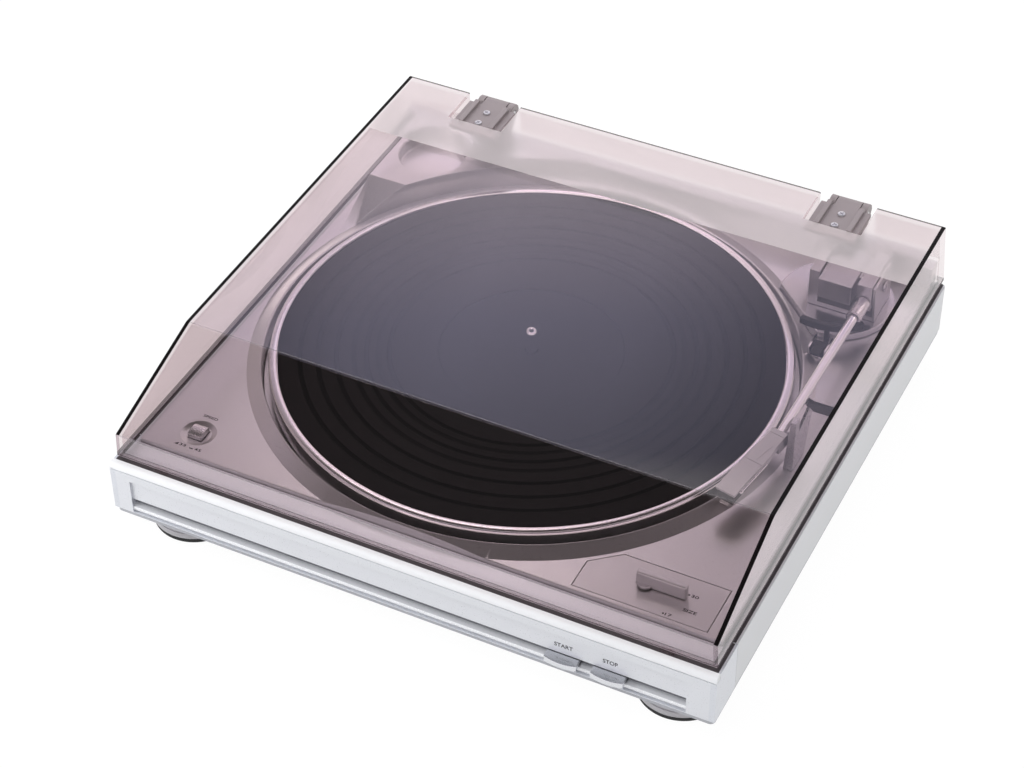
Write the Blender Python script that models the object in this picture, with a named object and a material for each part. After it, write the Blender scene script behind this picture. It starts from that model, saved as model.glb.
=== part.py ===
"""Automatic turntable with a tinted dust cover, modelled piece by piece.

+X points to the right of someone who faces the front, +Y to the back, +Z up.
The origin lies under the middle of the object, on the surface it stands on.
Each function makes one piece. A joint's axis is its piece's origin.
"""
import math

import bmesh
import bpy
from mathutils import Matrix, Vector

MM = 0.001
DEG = math.pi / 180.0

# Clearances shared by all the pieces
GAP = 0.3 * MM
SLIDE_GAP = 0.4 * MM
OVERRUN = 4.0 * MM
BITE = 1.0 * MM
MERGE = 0.001 * MM

# Facets of round shapes
BIG_FACETS = 56
MID_FACETS = 24
SMALL_FACETS = 14
ARC_FACETS = 6
SMOOTH_ANGLE = 32.0 * DEG
FLAT_ANGLE = 0.05 * DEG

# Plinth: the outer box of the object
PLINTH_WIDTH = 360.0 * MM
PLINTH_DEPTH = 345.6 * MM
KEY_REACH = 4.5 * MM
HINGE_REACH = 6.9 * MM
PLINTH_WALL = 3.0 * MM
FOOT_HEIGHT = 17.1 * MM
BOTTOM_THICKNESS = 2.5 * MM
CABINET_HEIGHT = 32.4 * MM
CORNER_RADIUS = 3.0 * MM
RIM_WIDTH = 6.0 * MM
RIM_DEPTH = 3.6 * MM
BACK_RIM = 2.0 * MM
PARTING_DEPTH = 27.2 * MM
POST_RADIUS = 5.0 * MM
POST_SHARES = (0.08, 0.5, 0.93)

HALF_WIDTH = PLINTH_WIDTH / 2
FRONT_Y = KEY_REACH - (KEY_REACH + PLINTH_DEPTH + HINGE_REACH) / 2
BACK_Y = FRONT_Y + PLINTH_DEPTH
PARTING_Y = FRONT_Y + PARTING_DEPTH
BASE_Z = FOOT_HEIGHT + GAP
CABINET_Z = BASE_Z + BOTTOM_THICKNESS + GAP
RIM_Z = CABINET_Z + CABINET_HEIGHT

# Cord gland in the back wall
GLAND_RADIUS = 5.0 * MM
GLAND_FLANGE = 1.5 * MM
GLAND_BORE = 2.6 * MM
GLAND_REACH = 5.0 * MM
GLAND_INSET = 60.0 * MM
GLAND_RISE = 14.0 * MM

# Front fascia: its wall, and the long pocket with its cove and half-round bar
FASCIA_WALL = 5.5 * MM
FASCIA_TOP = 2.8 * MM
POCKET_LEFT_MARGIN = 12.0 * MM
POCKET_RIGHT_MARGIN = 16.0 * MM
POCKET_BASE = 0.4 * MM
BAR_HEIGHT = 5.2 * MM
BAR_BULGE = 3.3 * MM
SHELF_HEIGHT = 1.7 * MM
COVE_RADIUS = 2.2 * MM
PANEL_HEIGHT = 12.8 * MM
PANEL_DEPTH = 1.5 * MM
GROOVE_HEIGHT = 1.0 * MM
GROOVE_DEPTH = 2.5 * MM
STRIP_DEPTH = 4.3 * MM
STRIP_HEIGHT = 4.1 * MM
STRIP_CROWN = 2.8 * MM
STRIP_DROP = 3.3 * MM

# Start and stop keys
KEY_WIDTH = 18.6 * MM
KEY_HEIGHT = 4.4 * MM
KEY_SLOPE = 1.0 * MM
KEY_CROWN = 1.4 * MM
KEY_LENGTH = 22.0 * MM
KEY_INSET = 59.2 * MM
KEY_PITCH = 26.4 * MM
KEY_RISE = 4.6 * MM

# Bottom cover
BOTTOM_INSET = 0.6 * MM
LIP_HEIGHT = 2.0 * MM
LIP_WALL = 1.6 * MM
VENT_COUNT = 9
VENT_LENGTH = 30.0 * MM
VENT_WIDTH = 2.5 * MM
VENT_PITCH = 6.5 * MM
VENT_INSET_X = 95.0 * MM
VENT_INSET_Y = 60.0 * MM

# Feet
FOOT_INSET_X = 31.3 * MM
FOOT_INSET_Y = 33.1 * MM
FOOT_RADIUS = 25.4 * MM
FOOT_TAPER = 2.4 * MM
FOOT_WAIST = 8.0 * MM
FOOT_WALL = 3.2 * MM
FOOT_CROWN = 4.0 * MM
PAD_HEIGHT = 2.8 * MM
PAD_WIDTH = 5.5 * MM
PAD_INSET = 0.7 * MM

# Platter well and its collar, round the platter's axis
PLATTER_SHIFT = 9.8 * MM
COLLAR_MARGIN_LEFT = 8.2 * MM
COLLAR_MARGIN_FRONT = 0.7 * MM
COLLAR_MARGIN_REAR = 2.6 * MM
LIP_FLAT = 1.0 * MM
COLLAR_WIDTH = 7.9 * MM
COLLAR_RISE = 3.7 * MM
WELL_DEPTH = 11.5 * MM
HUB_HOLE = 19.0 * MM

# Top deck
DECK_RISE = 2.7 * MM
DECK_WALL = 2.5 * MM
DECK_SKIRT = 9.7 * MM
FRONT_LEDGE = 22.7 * MM
LEDGE_DEPTH = 9.1 * MM
PLATEAU_RISE = 14.7 * MM
PLATEAU_MARGIN = 7.4 * MM
RAMP_START = 94.5 * MM
RAMP_LENGTH = 32.5 * MM
ADAPTER_RADIUS = 20.5 * MM
ADAPTER_DEPTH = 8.0 * MM
ADAPTER_INSET_X = 32.2 * MM
ADAPTER_INSET_Y = 35.6 * MM
SLOT_LENGTH = 16.0 * MM
SLOT_NOSE = 4.0 * MM
SLOT_WIDTH = 8.4 * MM
SLOT_DEPTH = 1.2 * MM
SLOT_EDGE = 12.7 * MM
SLOT_TO_ARM = 89.4 * MM

DECK_Z = RIM_Z + DECK_RISE
DECK_HALF = HALF_WIDTH - RIM_WIDTH - GAP
DECK_FRONT_Y = FRONT_Y + FRONT_LEDGE
DECK_BACK_Y = BACK_Y - BACK_RIM - GAP
SKIRT_Z = DECK_Z - DECK_SKIRT
LEDGE_Y = DECK_BACK_Y - LEDGE_DEPTH
PLATEAU_Z = DECK_Z + PLATEAU_RISE
ROOM_ACROSS = HALF_WIDTH - PLATTER_SHIFT - COLLAR_MARGIN_LEFT - COLLAR_WIDTH
ROOM_DEEP = (LEDGE_Y - COLLAR_MARGIN_REAR - DECK_FRONT_Y - COLLAR_MARGIN_FRONT) / 2
LIP_RADIUS = min(ROOM_ACROSS, ROOM_DEEP)
WELL_RADIUS = LIP_RADIUS - LIP_FLAT
COLLAR_RADIUS = LIP_RADIUS + COLLAR_WIDTH
PLATTER_X = -PLATTER_SHIFT
PLATTER_Y = DECK_FRONT_Y + COLLAR_MARGIN_FRONT + LIP_RADIUS
COLLAR_Z = DECK_Z + COLLAR_RISE
WELL_Z = COLLAR_Z - WELL_DEPTH
WELL_UNDER_Z = WELL_Z - DECK_WALL

# Platter, mat and spindle
RIM_TOP_RISE = 4.0 * MM
PLATTER_CLEARANCE = 3.8 * MM
PLATTER_RIM = 5.1 * MM
PLATTER_SKIRT = 12.0 * MM
SKIRT_WALL = 3.6 * MM
PLATTER_PLATE = 2.5 * MM
MAT_SINK = 1.0 * MM
MAT_THICKNESS = 2.2 * MM
MAT_GROOVE = 0.6 * MM
MAT_GROOVE_HALF = 1.3 * MM
MAT_GROOVE_SHARES = (0.9112, 0.7878, 0.6644, 0.5409)
LABEL_RADIUS = 52.8 * MM
LABEL_SINK = 0.7 * MM
BELT_SPAN = 32.0 * MM
BELT_RING_WALL = 2.6 * MM
BELT_RING_DEPTH = 6.2 * MM
HUB_RADIUS = 13.0 * MM
PLATTER_RIB_COUNT = 12
PLATTER_RIB_WALL = 2.0 * MM
PLATTER_RIB_DEPTH = 3.5 * MM
FINGER_HOLE_RADIUS = 11.0 * MM
SPINDLE_RADIUS = 3.5 * MM
SPINDLE_RISE = 15.0 * MM
SPINDLE_SHAFT = 3.0 * MM
SPINDLE_DEPTH = 21.0 * MM

PLATTER_TOP_Z = COLLAR_Z + RIM_TOP_RISE
PLATTER_RADIUS = WELL_RADIUS - PLATTER_CLEARANCE
MAT_RADIUS = PLATTER_RADIUS - PLATTER_RIM
MAT_TOP_Z = PLATTER_TOP_Z - MAT_SINK
PLATE_Z = MAT_TOP_Z - MAT_THICKNESS - GAP
PLATE_UNDER_Z = PLATE_Z - PLATTER_PLATE

# Sub chassis, bearing, gears, motor and belt
CHASSIS_THICKNESS = 1.5 * MM
CHASSIS_DROP = 13.2 * MM
CHASSIS_LEFT = 36.0 * MM
CHASSIS_RIGHT = 112.0 * MM
CHASSIS_FRONT = 30.0 * MM
CHASSIS_REAR = 62.0 * MM
CHASSIS_CORNER = 9.0 * MM
CHASSIS_BOSS = 4.5 * MM
TOOTH_MODULE = 2.0 * MM
HUB_TEETH = 16
CAM_TEETH = 44
CAM_BARE_TEETH = 6
TOOTH_ROOT_SHARE = 1.25
TOOTH_TIP_SHARE = 0.8
TOOTH_FOOT_SHARE = 0.3
TOOTH_LAND_SHARE = 0.125
GEAR_THICKNESS = 4.5 * MM
GEAR_DROP = 2.0 * MM
CAM_ANGLE = 35.0 * DEG
CAM_AXLE_RADIUS = 3.0 * MM
CAM_TRACK_RADIUS = 24.0 * MM
CAM_TRACK_WIDTH = 5.0 * MM
CAM_TRACK_DEPTH = 2.0 * MM
BEARING_RADIUS = 6.5 * MM
BEARING_FLANGE = 11.0 * MM
BEARING_FLANGE_HEIGHT = 1.6 * MM
LEVER_THICKNESS = 2.0 * MM
LEVER_WIDTH = 9.0 * MM
LEVER_CLEARANCE = 19.2 * MM
MOTOR_RADIUS = 18.0 * MM
MOTOR_HEIGHT = 23.0 * MM
MOTOR_BEND = 2.0 * MM
MOTOR_INSET = 39.3 * MM
MOTOR_ANGLE = 135.0 * DEG
SHAFT_RADIUS = 1.0 * MM
PULLEY_RADIUS = 5.5 * MM
PULLEY_FLANGE = 1.4 * MM
PULLEY_FLANGE_HEIGHT = 0.8 * MM
PULLEY_DEPTH = 6.4 * MM
BELT_HEIGHT = 4.2 * MM
BELT_THICKNESS = 0.8 * MM

MOTOR_DISTANCE = PLATTER_RADIUS - MOTOR_INSET
BELT_RING_RADIUS = MOTOR_DISTANCE - BELT_SPAN
CHASSIS_TOP_Z = WELL_UNDER_Z - CHASSIS_DROP
CHASSIS_Z = CHASSIS_TOP_Z - CHASSIS_THICKNESS
GEAR_TOP_Z = WELL_UNDER_Z - GEAR_DROP
GEAR_Z = GEAR_TOP_Z - GEAR_THICKNESS
HUB_PITCH_RADIUS = HUB_TEETH * TOOTH_MODULE / 2
CAM_PITCH_RADIUS = CAM_TEETH * TOOTH_MODULE / 2
CAM_X = PLATTER_X + (HUB_PITCH_RADIUS + CAM_PITCH_RADIUS) * math.cos(CAM_ANGLE)
CAM_Y = PLATTER_Y + (HUB_PITCH_RADIUS + CAM_PITCH_RADIUS) * math.sin(CAM_ANGLE)
MOTOR_X = PLATTER_X + MOTOR_DISTANCE * math.cos(MOTOR_ANGLE)
MOTOR_Y = PLATTER_Y + MOTOR_DISTANCE * math.sin(MOTOR_ANGLE)

# Circuit board on pegs of the bottom cover
BOARD_LENGTH = 92.0 * MM
BOARD_DEPTH = 36.0 * MM
BOARD_THICKNESS = 1.6 * MM
BOARD_RISE = 4.0 * MM
BOARD_INSET_X = 46.0 * MM
BOARD_INSET_Y = 42.0 * MM
BOARD_PEG = 2.5 * MM
BOARD_PEG_INSET = 5.0 * MM
CHIP_WIDTHS = (14.0 * MM, 9.0 * MM, 12.0 * MM)
CHIP_HEIGHT = 5.0 * MM
CHIP_SPACE = 14.0 * MM

# Tonearm: yaw axis, base disc and yoke
ARM_INSET_X = 51.5 * MM
ARM_INSET_Y = 45.1 * MM
ARM_BASE_RADIUS = 33.8 * MM
ARM_BASE_HEIGHT = 4.4 * MM
ARM_CHORD = 26.2 * MM
ARM_CHORD_ANGLE = 228.0 * DEG
ARM_CHORD_SLANT = 2.5 * MM
ARM_BOSS_RADIUS = 9.0 * MM
ARM_BOSS_DEPTH = 12.0 * MM
ARM_SHAFT_RADIUS = 4.0 * MM
ARM_SHAFT_LENGTH = 26.0 * MM
RETURN_LEVER_REACH = 34.0 * MM
RETURN_LEVER_ANGLE = 225.0 * DEG
RETURN_HUB = 2.6 * MM
YOKE_PLATE = 3.0 * MM
YOKE_LEFT = 13.5 * MM
YOKE_CHEEK = 6.0 * MM
YOKE_SIDE_PLATE = 1.5 * MM
YOKE_FRONT = 12.2 * MM
YOKE_BACK = 13.8 * MM
YOKE_LEFT_RISE = 24.7 * MM
YOKE_STEP = 5.0 * MM
YOKE_STEP_RISE = 12.0 * MM
YOKE_SIDE_RISE = 26.0 * MM
YOKE_SIDE_LEAN = 3.0 * MM
PIVOT_RISE = 17.7 * MM
PIVOT_SCREW_RADIUS = 1.8 * MM
PIVOT_HEAD_RADIUS = 3.2 * MM
PIVOT_HEAD_HEIGHT = 1.2 * MM
PIVOT_TIP = 2.4 * MM

ARM_X = HALF_WIDTH - ARM_INSET_X
ARM_Y = DECK_BACK_Y - ARM_INSET_Y
ARM_BASE_Z = DECK_Z + GAP
ARM_TOP_Z = ARM_BASE_Z + ARM_BASE_HEIGHT
YOKE_Z = ARM_TOP_Z + GAP
PIVOT_Z = YOKE_Z + PIVOT_RISE

# Arm housing: the block round the tube, the box beside it, the weight behind
HOUSING_GAP = 0.5 * MM
BOX_WIDTH = 20.5 * MM
SLIT_WIDTH = 3.0 * MM
SLIT_DEPTH = 12.0 * MM
BLOCK_WIDTH = 9.2 * MM
HOUSING_FRONT = 16.2 * MM
HOUSING_BACK = 15.5 * MM
HOUSING_DROP = 8.0 * MM
BLOCK_RISE = 9.5 * MM
BOX_RISE = 5.5 * MM
HOUSING_BEVEL = 0.6 * MM
WEIGHT_LENGTH = 11.5 * MM
WEIGHT_INSET = 2.0 * MM
WEIGHT_RISE = 5.0 * MM
WEIGHT_DROP = 9.0 * MM
WEIGHT_BEVEL = 1.5 * MM

# Tube, sleeve, head shell, cartridge and stylus
TUBE_RADIUS = 2.8 * MM
TUBE_WALL = 0.7 * MM
TUBE_SEAT = 14.0 * MM
TUBE_LENGTH = 129.0 * MM
TUBE_SINK = 2.5 * MM
TUBE_SLOPE = 1.0 * MM
TUBE_TOE_IN = 1.8 * MM
SLEEVE_LENGTH = 15.0 * MM
SLEEVE_RADIUS = 4.5 * MM
SLEEVE_SKIRT = 1.6 * MM
HEAD_ANGLE = 12.0 * DEG
HEAD_SLOPE = 6.0 * DEG
HEAD_LENGTH = 47.0 * MM
HEAD_REAR = 5.5 * MM
HEAD_WIDTH = 12.0 * MM
HEAD_PLATE = 1.6 * MM
HEAD_RISE = 0.8 * MM
HEAD_BLOCK = 9.0 * MM
HEAD_NECK = 9.4 * MM
HEAD_BLOCK_DROP = 4.4 * MM
HEAD_FLANGE = 2.2 * MM
CARTRIDGE_LENGTH = 26.0 * MM
CARTRIDGE_WIDTH = 9.6 * MM
CARTRIDGE_HEIGHT = 6.2 * MM
CARTRIDGE_CHIN = 1.8 * MM
STYLUS_LENGTH = 9.0 * MM
STYLUS_WIDTH = 5.4 * MM
STYLUS_HEIGHT = 1.7 * MM
STYLUS_OVERHANG = 1.6 * MM
FINGER_RADIUS = 0.75 * MM
FINGER_BALL = 1.3 * MM
FINGER_LENGTH = 24.0 * MM
FINGER_START = 18.0 * MM

# Arm rest
REST_WIDTH = 5.4 * MM
REST_TOP_WIDTH = 3.0 * MM
REST_DEPTH = 5.8 * MM
REST_RISE = 34.5 * MM
REST_OFFSET = 8.2 * MM
REST_WEB = 1.6 * MM
REST_WEB_DEPTH = 20.0 * MM
REST_WEB_LOW = 11.0 * MM
REST_WEB_HIGH = 5.0 * MM
REST_SHELF = 4.0 * MM
REST_SHELF_REACH = 8.5 * MM
REST_SHELF_DEPTH = 6.0 * MM
REST_BACK = 1.2 * MM
REST_PEG = 1.8 * MM
REST_PEG_DEPTH = 4.0 * MM

# Cueing lift: its curved bar, the bracket and the lever
LIFT_RADIUS = 36.0 * MM
LIFT_WIDTH = 3.4 * MM
LIFT_HEIGHT = 4.6 * MM
LIFT_CLEARANCE = 3.2 * MM
LIFT_START = -104.0 * DEG
LIFT_END = -45.0 * DEG
LIFT_STEM_ANGLE = -78.0 * DEG
LIFT_STEM_RADIUS = 1.6 * MM
LIFT_STEM_DEPTH = 22.0 * MM
CRADLE_WIDTH = 11.0 * MM
CRADLE_LENGTH = 13.0 * MM
CRADLE_LEFT = -1.8 * MM
CRADLE_BACK = 37.8 * MM
CRADLE_WALL = 1.2 * MM
CRADLE_RISE = 6.4 * MM
CUE_PIN_RADIUS = 1.1 * MM
CUE_PIN_RISE = 4.4 * MM
CUE_PIN_BACK = 6.0 * MM
CUE_HUB_RADIUS = 2.2 * MM
CUE_REACH = 9.5 * MM
CUE_TAB_WIDTH = 6.0 * MM
CUE_TAB_HEIGHT = 1.6 * MM

# Size selector
SIZE_PANEL_INSET = 9.9 * MM
SIZE_PANEL_WIDTH = 76.7 * MM
SIZE_PANEL_MARGIN = 2.6 * MM
SIZE_PANEL_DEPTH = 32.6 * MM
SIZE_PANEL_SLANT_X = 15.8 * MM
SIZE_PANEL_SLANT_Y = 13.2 * MM
SIZE_PANEL_THICKNESS = 1.2 * MM
SIZE_PIVOT_X = 34.5 * MM
SIZE_PIVOT_Y = 17.3 * MM
SIZE_DISC_RADIUS = 4.5 * MM
SIZE_DISC_HEIGHT = 2.2 * MM
SIZE_FIN_BACK = 4.6 * MM
SIZE_FIN_FRONT = 23.4 * MM
SIZE_FIN_WIDTH = 4.4 * MM
SIZE_FIN_HEIGHT = 8.8 * MM
SIZE_FIN_BEVEL = 0.9 * MM
SIZE_STEM_RADIUS = 2.2 * MM
SIZE_STEM_DEPTH = 7.0 * MM

SIZE_PANEL_RIGHT = DECK_HALF - SIZE_PANEL_INSET
SIZE_PANEL_LEFT = SIZE_PANEL_RIGHT - SIZE_PANEL_WIDTH

# Speed selector
SPEED_INSET_X = 33.0 * MM
SPEED_INSET_Y = 40.0 * MM
SPEED_DISH_RADIUS = 10.2 * MM
SPEED_DISH_DEPTH = 1.1 * MM
SPEED_DISH_FLOOR = 7.2 * MM
SPEED_WIDTH = 8.6 * MM
SPEED_DEPTH = 9.0 * MM
SPEED_RISE = 2.9 * MM
SPEED_CROWN = 1.0 * MM
SPEED_STEM = 9.0 * MM

# Dust cover
COVER_WALL = 2.4 * MM
COVER_SIDE_INSET = 2.0 * MM
COVER_FRONT_INSET = 5.3 * MM
COVER_BACK_OVERHANG = 0.7 * MM
COVER_LIFT = 2.3 * MM
COVER_FRONT_HEIGHT = 15.9 * MM
COVER_HEIGHT = 40.4 * MM
COVER_SLOPE_LENGTH = 74.7 * MM
COVER_DRAFT = 2.3 * MM
COVER_REAR_GAP = 2.0 * MM
NOTCH_WIDTH = 35.0 * MM
NOTCH_DEPTH = 28.1 * MM
NOTCH_INSET = 64.0 * MM
BUMPER_LENGTH = 8.0 * MM
BUMPER_INSET = 30.0 * MM

NOTCH_X = HALF_WIDTH - NOTCH_INSET
BUMPER_X = HALF_WIDTH - BUMPER_INSET
COVER_Z = RIM_Z + COVER_LIFT
COVER_TOP_Z = COVER_Z + COVER_HEIGHT
COVER_FRONT_Y = FRONT_Y + COVER_FRONT_INSET
COVER_BACK_Y = BACK_Y + COVER_BACK_OVERHANG

# Cover hinges
KNUCKLE_RADIUS = 6.0 * MM
HINGE_DROP = 8.5 * MM
LEAF_WIDTH = 31.0 * MM
LEAF_PLATE = 3.0 * MM
LEAF_FLANGE = 5.0 * MM
LEAF_RIB = 3.0 * MM
LEAF_RIB_HEIGHT = 2.4 * MM
LEAF_RIB_INSET = 4.0 * MM
LEAF_KNUCKLE_WIDTH = 15.0 * MM
CHEEK_WIDTH = 4.0 * MM
BRACKET_DEPTH = 8.0 * MM
BRACKET_BLOCK = 8.0 * MM
HINGE_PIN_RADIUS = 1.8 * MM

HINGE_Y = BACK_Y + HINGE_REACH - KNUCKLE_RADIUS
HINGE_Z = COVER_TOP_Z - HINGE_DROP


def clear_scene():
    for item in list(bpy.data.objects):
        bpy.data.objects.remove(item, do_unlink=True)


def material(name, colour, roughness, metallic):
    made = bpy.data.materials.get(name)
    if made:
        return made
    made = bpy.data.materials.new(name)
    made.use_nodes = True
    surface = made.node_tree.nodes["Principled BSDF"]
    surface.inputs["Base Color"].default_value = (*colour, 1.0)
    surface.inputs["Roughness"].default_value = roughness
    surface.inputs["Metallic"].default_value = metallic
    made.diffuse_color = (*colour, 1.0)
    return made


def silver_plastic():
    return material("silver_plastic", (0.72, 0.74, 0.78), 0.35, 0.3)


def satin_deck():
    return material("satin_deck", (0.62, 0.60, 0.62), 0.38, 0.7)


def white_plastic():
    return material("white_plastic", (0.86, 0.87, 0.89), 0.25, 0.0)


def dark_plastic():
    return material("dark_plastic", (0.04, 0.04, 0.045), 0.45, 0.0)


def grey_plastic():
    return material("grey_plastic", (0.38, 0.36, 0.39), 0.5, 0.0)


def rubber():
    return material("rubber", (0.02, 0.02, 0.022), 0.8, 0.0)


def aluminium():
    return material("aluminium", (0.78, 0.78, 0.80), 0.25, 1.0)


def chrome():
    return material("chrome", (0.85, 0.85, 0.87), 0.08, 1.0)


def steel():
    return material("steel", (0.55, 0.55, 0.57), 0.4, 1.0)


def brass():
    return material("brass", (0.70, 0.55, 0.28), 0.3, 1.0)


def clear_plastic():
    return material("clear_plastic", (0.72, 0.63, 0.67), 0.05, 0.0)


def board_green():
    return material("board_green", (0.05, 0.20, 0.10), 0.6, 0.0)


def solid_from(mesh_maker):
    """Close a bmesh into an object whose faces point outwards."""
    bmesh.ops.recalc_face_normals(mesh_maker, faces=mesh_maker.faces)
    mesh = bpy.data.meshes.new("solid")
    mesh_maker.to_mesh(mesh)
    mesh_maker.free()
    made = bpy.data.objects.new("solid", mesh)
    bpy.context.scene.collection.objects.link(made)
    return made


def prism(outline, low, high, along="z"):
    """Extrude an outline. It is (x, y) along z, (y, z) along x, (x, z) along y."""
    order = {"x": (2, 0, 1), "y": (0, 2, 1), "z": (0, 1, 2)}[along]
    maker = bmesh.new()
    corners = []
    for first, second in outline:
        values = (first, second, low)
        corners.append(maker.verts.new([values[place] for place in order]))
    face = maker.faces.new(corners)
    grown = bmesh.ops.extrude_face_region(maker, geom=[face])
    rise = (0.0, 0.0, high - low)
    moved = [item for item in grown["geom"] if isinstance(item, bmesh.types.BMVert)]
    bmesh.ops.translate(maker, vec=[rise[place] for place in order], verts=moved)
    return solid_from(maker)


def slab(x_range, y_range, z_range):
    left, right = x_range
    front, back = y_range
    outline = [(left, front), (right, front), (right, back), (left, back)]
    return prism(outline, z_range[0], z_range[1])


def arc(centre, radius, start, end, facets):
    """Points on an arc, both ends included."""
    points = []
    for step in range(facets + 1):
        angle = start + (end - start) * step / facets
        points.append((centre[0] + radius * math.cos(angle), centre[1] + radius * math.sin(angle)))
    return points


def circle(centre, radius, facets):
    return arc(centre, radius, 0.0, 2 * math.pi, facets)[:-1]


def rounded(x_range, y_range, radius, facets=ARC_FACETS):
    """A rectangle's outline with round corners."""
    left, right = x_range
    front, back = y_range
    corners = ((right - radius, back - radius), (left + radius, back - radius),
               (left + radius, front + radius), (right - radius, front + radius))
    points = []
    for turn, corner in enumerate(corners):
        start = turn * math.pi / 2
        points += arc(corner, radius, start, start + math.pi / 2, facets)
    return points


def disc(centre, radius, low, high, facets):
    return prism(circle(centre, radius, facets), low, high)


def turned(profile, centre, facets):
    """Spin a closed profile of (radius, height) points round a vertical axis."""
    maker = bmesh.new()
    corners = [maker.verts.new((centre[0] + radius, centre[1], height)) for radius, height in profile]
    edges = [maker.edges.new((corners[i], corners[(i + 1) % len(corners)])) for i in range(len(corners))]
    bmesh.ops.spin(maker, geom=corners + edges, cent=(centre[0], centre[1], 0.0), axis=(0.0, 0.0, 1.0),
                   angle=2 * math.pi, steps=facets, use_merge=True)
    bmesh.ops.remove_doubles(maker, verts=maker.verts, dist=MERGE)
    spare = [edge for edge in maker.edges if not edge.link_faces]
    bmesh.ops.delete(maker, geom=spare, context="EDGES")
    flat = [face for face in maker.faces if face.calc_area() < MERGE * MERGE]
    bmesh.ops.delete(maker, geom=flat, context="FACES")
    return solid_from(maker)


def rod(start, end, radius, facets, end_radius=None):
    """A round bar from one point to another, tapered if it has an end radius."""
    start = Vector(start)
    end = Vector(end)
    reach = end - start
    maker = bmesh.new()
    place = Matrix.Translation((start + end) / 2) @ reach.to_track_quat("Z", "Y").to_matrix().to_4x4()
    bmesh.ops.create_cone(maker, cap_ends=True, segments=facets, radius1=radius,
                          radius2=radius if end_radius is None else end_radius,
                          depth=reach.length, matrix=place)
    return solid_from(maker)


def ball(centre, radius, facets):
    maker = bmesh.new()
    bmesh.ops.create_uvsphere(maker, u_segments=facets, v_segments=facets // 2, radius=radius,
                              matrix=Matrix.Translation(centre))
    return solid_from(maker)


def tidy(mesh):
    """Merge doubled points and drop the slivers and spare points that a cut leaves."""
    maker = bmesh.new()
    maker.from_mesh(mesh)
    bmesh.ops.remove_doubles(maker, verts=maker.verts, dist=MERGE)
    bmesh.ops.dissolve_degenerate(maker, edges=maker.edges, dist=MERGE)
    bmesh.ops.dissolve_limit(maker, angle_limit=FLAT_ANGLE, verts=maker.verts, edges=maker.edges)
    maker.to_mesh(mesh)
    maker.free()


def bake(target, step):
    """Replace an object's mesh by what its modifier makes of it."""
    graph = bpy.context.evaluated_depsgraph_get()
    shape = bpy.data.meshes.new_from_object(target.evaluated_get(graph))
    tidy(shape)
    target.modifiers.remove(step)
    old = target.data
    target.data = shape
    bpy.data.meshes.remove(old)


def combine(target, tool, operation):
    step = target.modifiers.new("combine", "BOOLEAN")
    step.operation = operation
    step.solver = "EXACT"
    step.object = tool
    bake(target, step)
    bpy.data.objects.remove(tool, do_unlink=True)


def cut(target, *tools):
    for tool in tools:
        combine(target, tool, "DIFFERENCE")


def join(target, *tools):
    for tool in tools:
        combine(target, tool, "UNION")


def soften(target, width, segments=1):
    step = target.modifiers.new("soften", "BEVEL")
    step.width = width
    step.segments = segments
    step.limit_method = "ANGLE"
    step.angle_limit = SMOOTH_ANGLE
    bake(target, step)


def move(target, matrix):
    target.data.transform(matrix)


def finish(target, name, surface, origin=(0.0, 0.0, 0.0)):
    """Name the piece, give it its material, and put its origin on its joint."""
    target.name = name
    target.data.name = name
    target.data.materials.clear()
    target.data.materials.append(surface)
    target.data.transform(Matrix.Translation([-value for value in origin]))
    target.location = origin
    target.data.shade_smooth()
    target.data.set_sharp_from_angle(angle=SMOOTH_ANGLE)
    return target


def make_cabinet():
    """Moulded frame of the plinth: side and back walls, rim, posts for the deck."""
    outline = [(HALF_WIDTH, PARTING_Y)]
    outline += arc((HALF_WIDTH - CORNER_RADIUS, BACK_Y - CORNER_RADIUS), CORNER_RADIUS,
                   0.0, math.pi / 2, ARC_FACETS)
    outline += arc((CORNER_RADIUS - HALF_WIDTH, BACK_Y - CORNER_RADIUS), CORNER_RADIUS,
                   math.pi / 2, math.pi, ARC_FACETS)
    outline.append((-HALF_WIDTH, PARTING_Y))
    frame = prism(outline, CABINET_Z, RIM_Z)
    inner = HALF_WIDTH - PLINTH_WALL
    cut(frame, slab((-inner, inner), (PARTING_Y - OVERRUN, BACK_Y - PLINTH_WALL),
                    (CABINET_Z - OVERRUN, RIM_Z - RIM_DEPTH)))
    mouth = DECK_HALF + GAP
    cut(frame, slab((-mouth, mouth), (PARTING_Y - OVERRUN, DECK_BACK_Y + GAP),
                    (CABINET_Z + OVERRUN, RIM_Z + OVERRUN)))
    post_x = inner - POST_RADIUS + BITE
    for side in (-1, 1):
        for share in POST_SHARES:
            place = (side * post_x, PARTING_Y + share * (BACK_Y - PARTING_Y))
            join(frame, disc(place, POST_RADIUS, CABINET_Z, SKIRT_Z - GAP, SMALL_FACETS))
    cut(frame, gland_rod(GLAND_RADIUS + GAP, BACK_Y - PLINTH_WALL - OVERRUN, BACK_Y + OVERRUN))
    return finish(frame, "cabinet", silver_plastic())


def gland_rod(radius, front, back):
    place_x = HALF_WIDTH - GLAND_INSET
    place_z = CABINET_Z + GLAND_RISE
    return rod((place_x, front, place_z), (place_x, back, place_z), radius, SMALL_FACETS)


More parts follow.
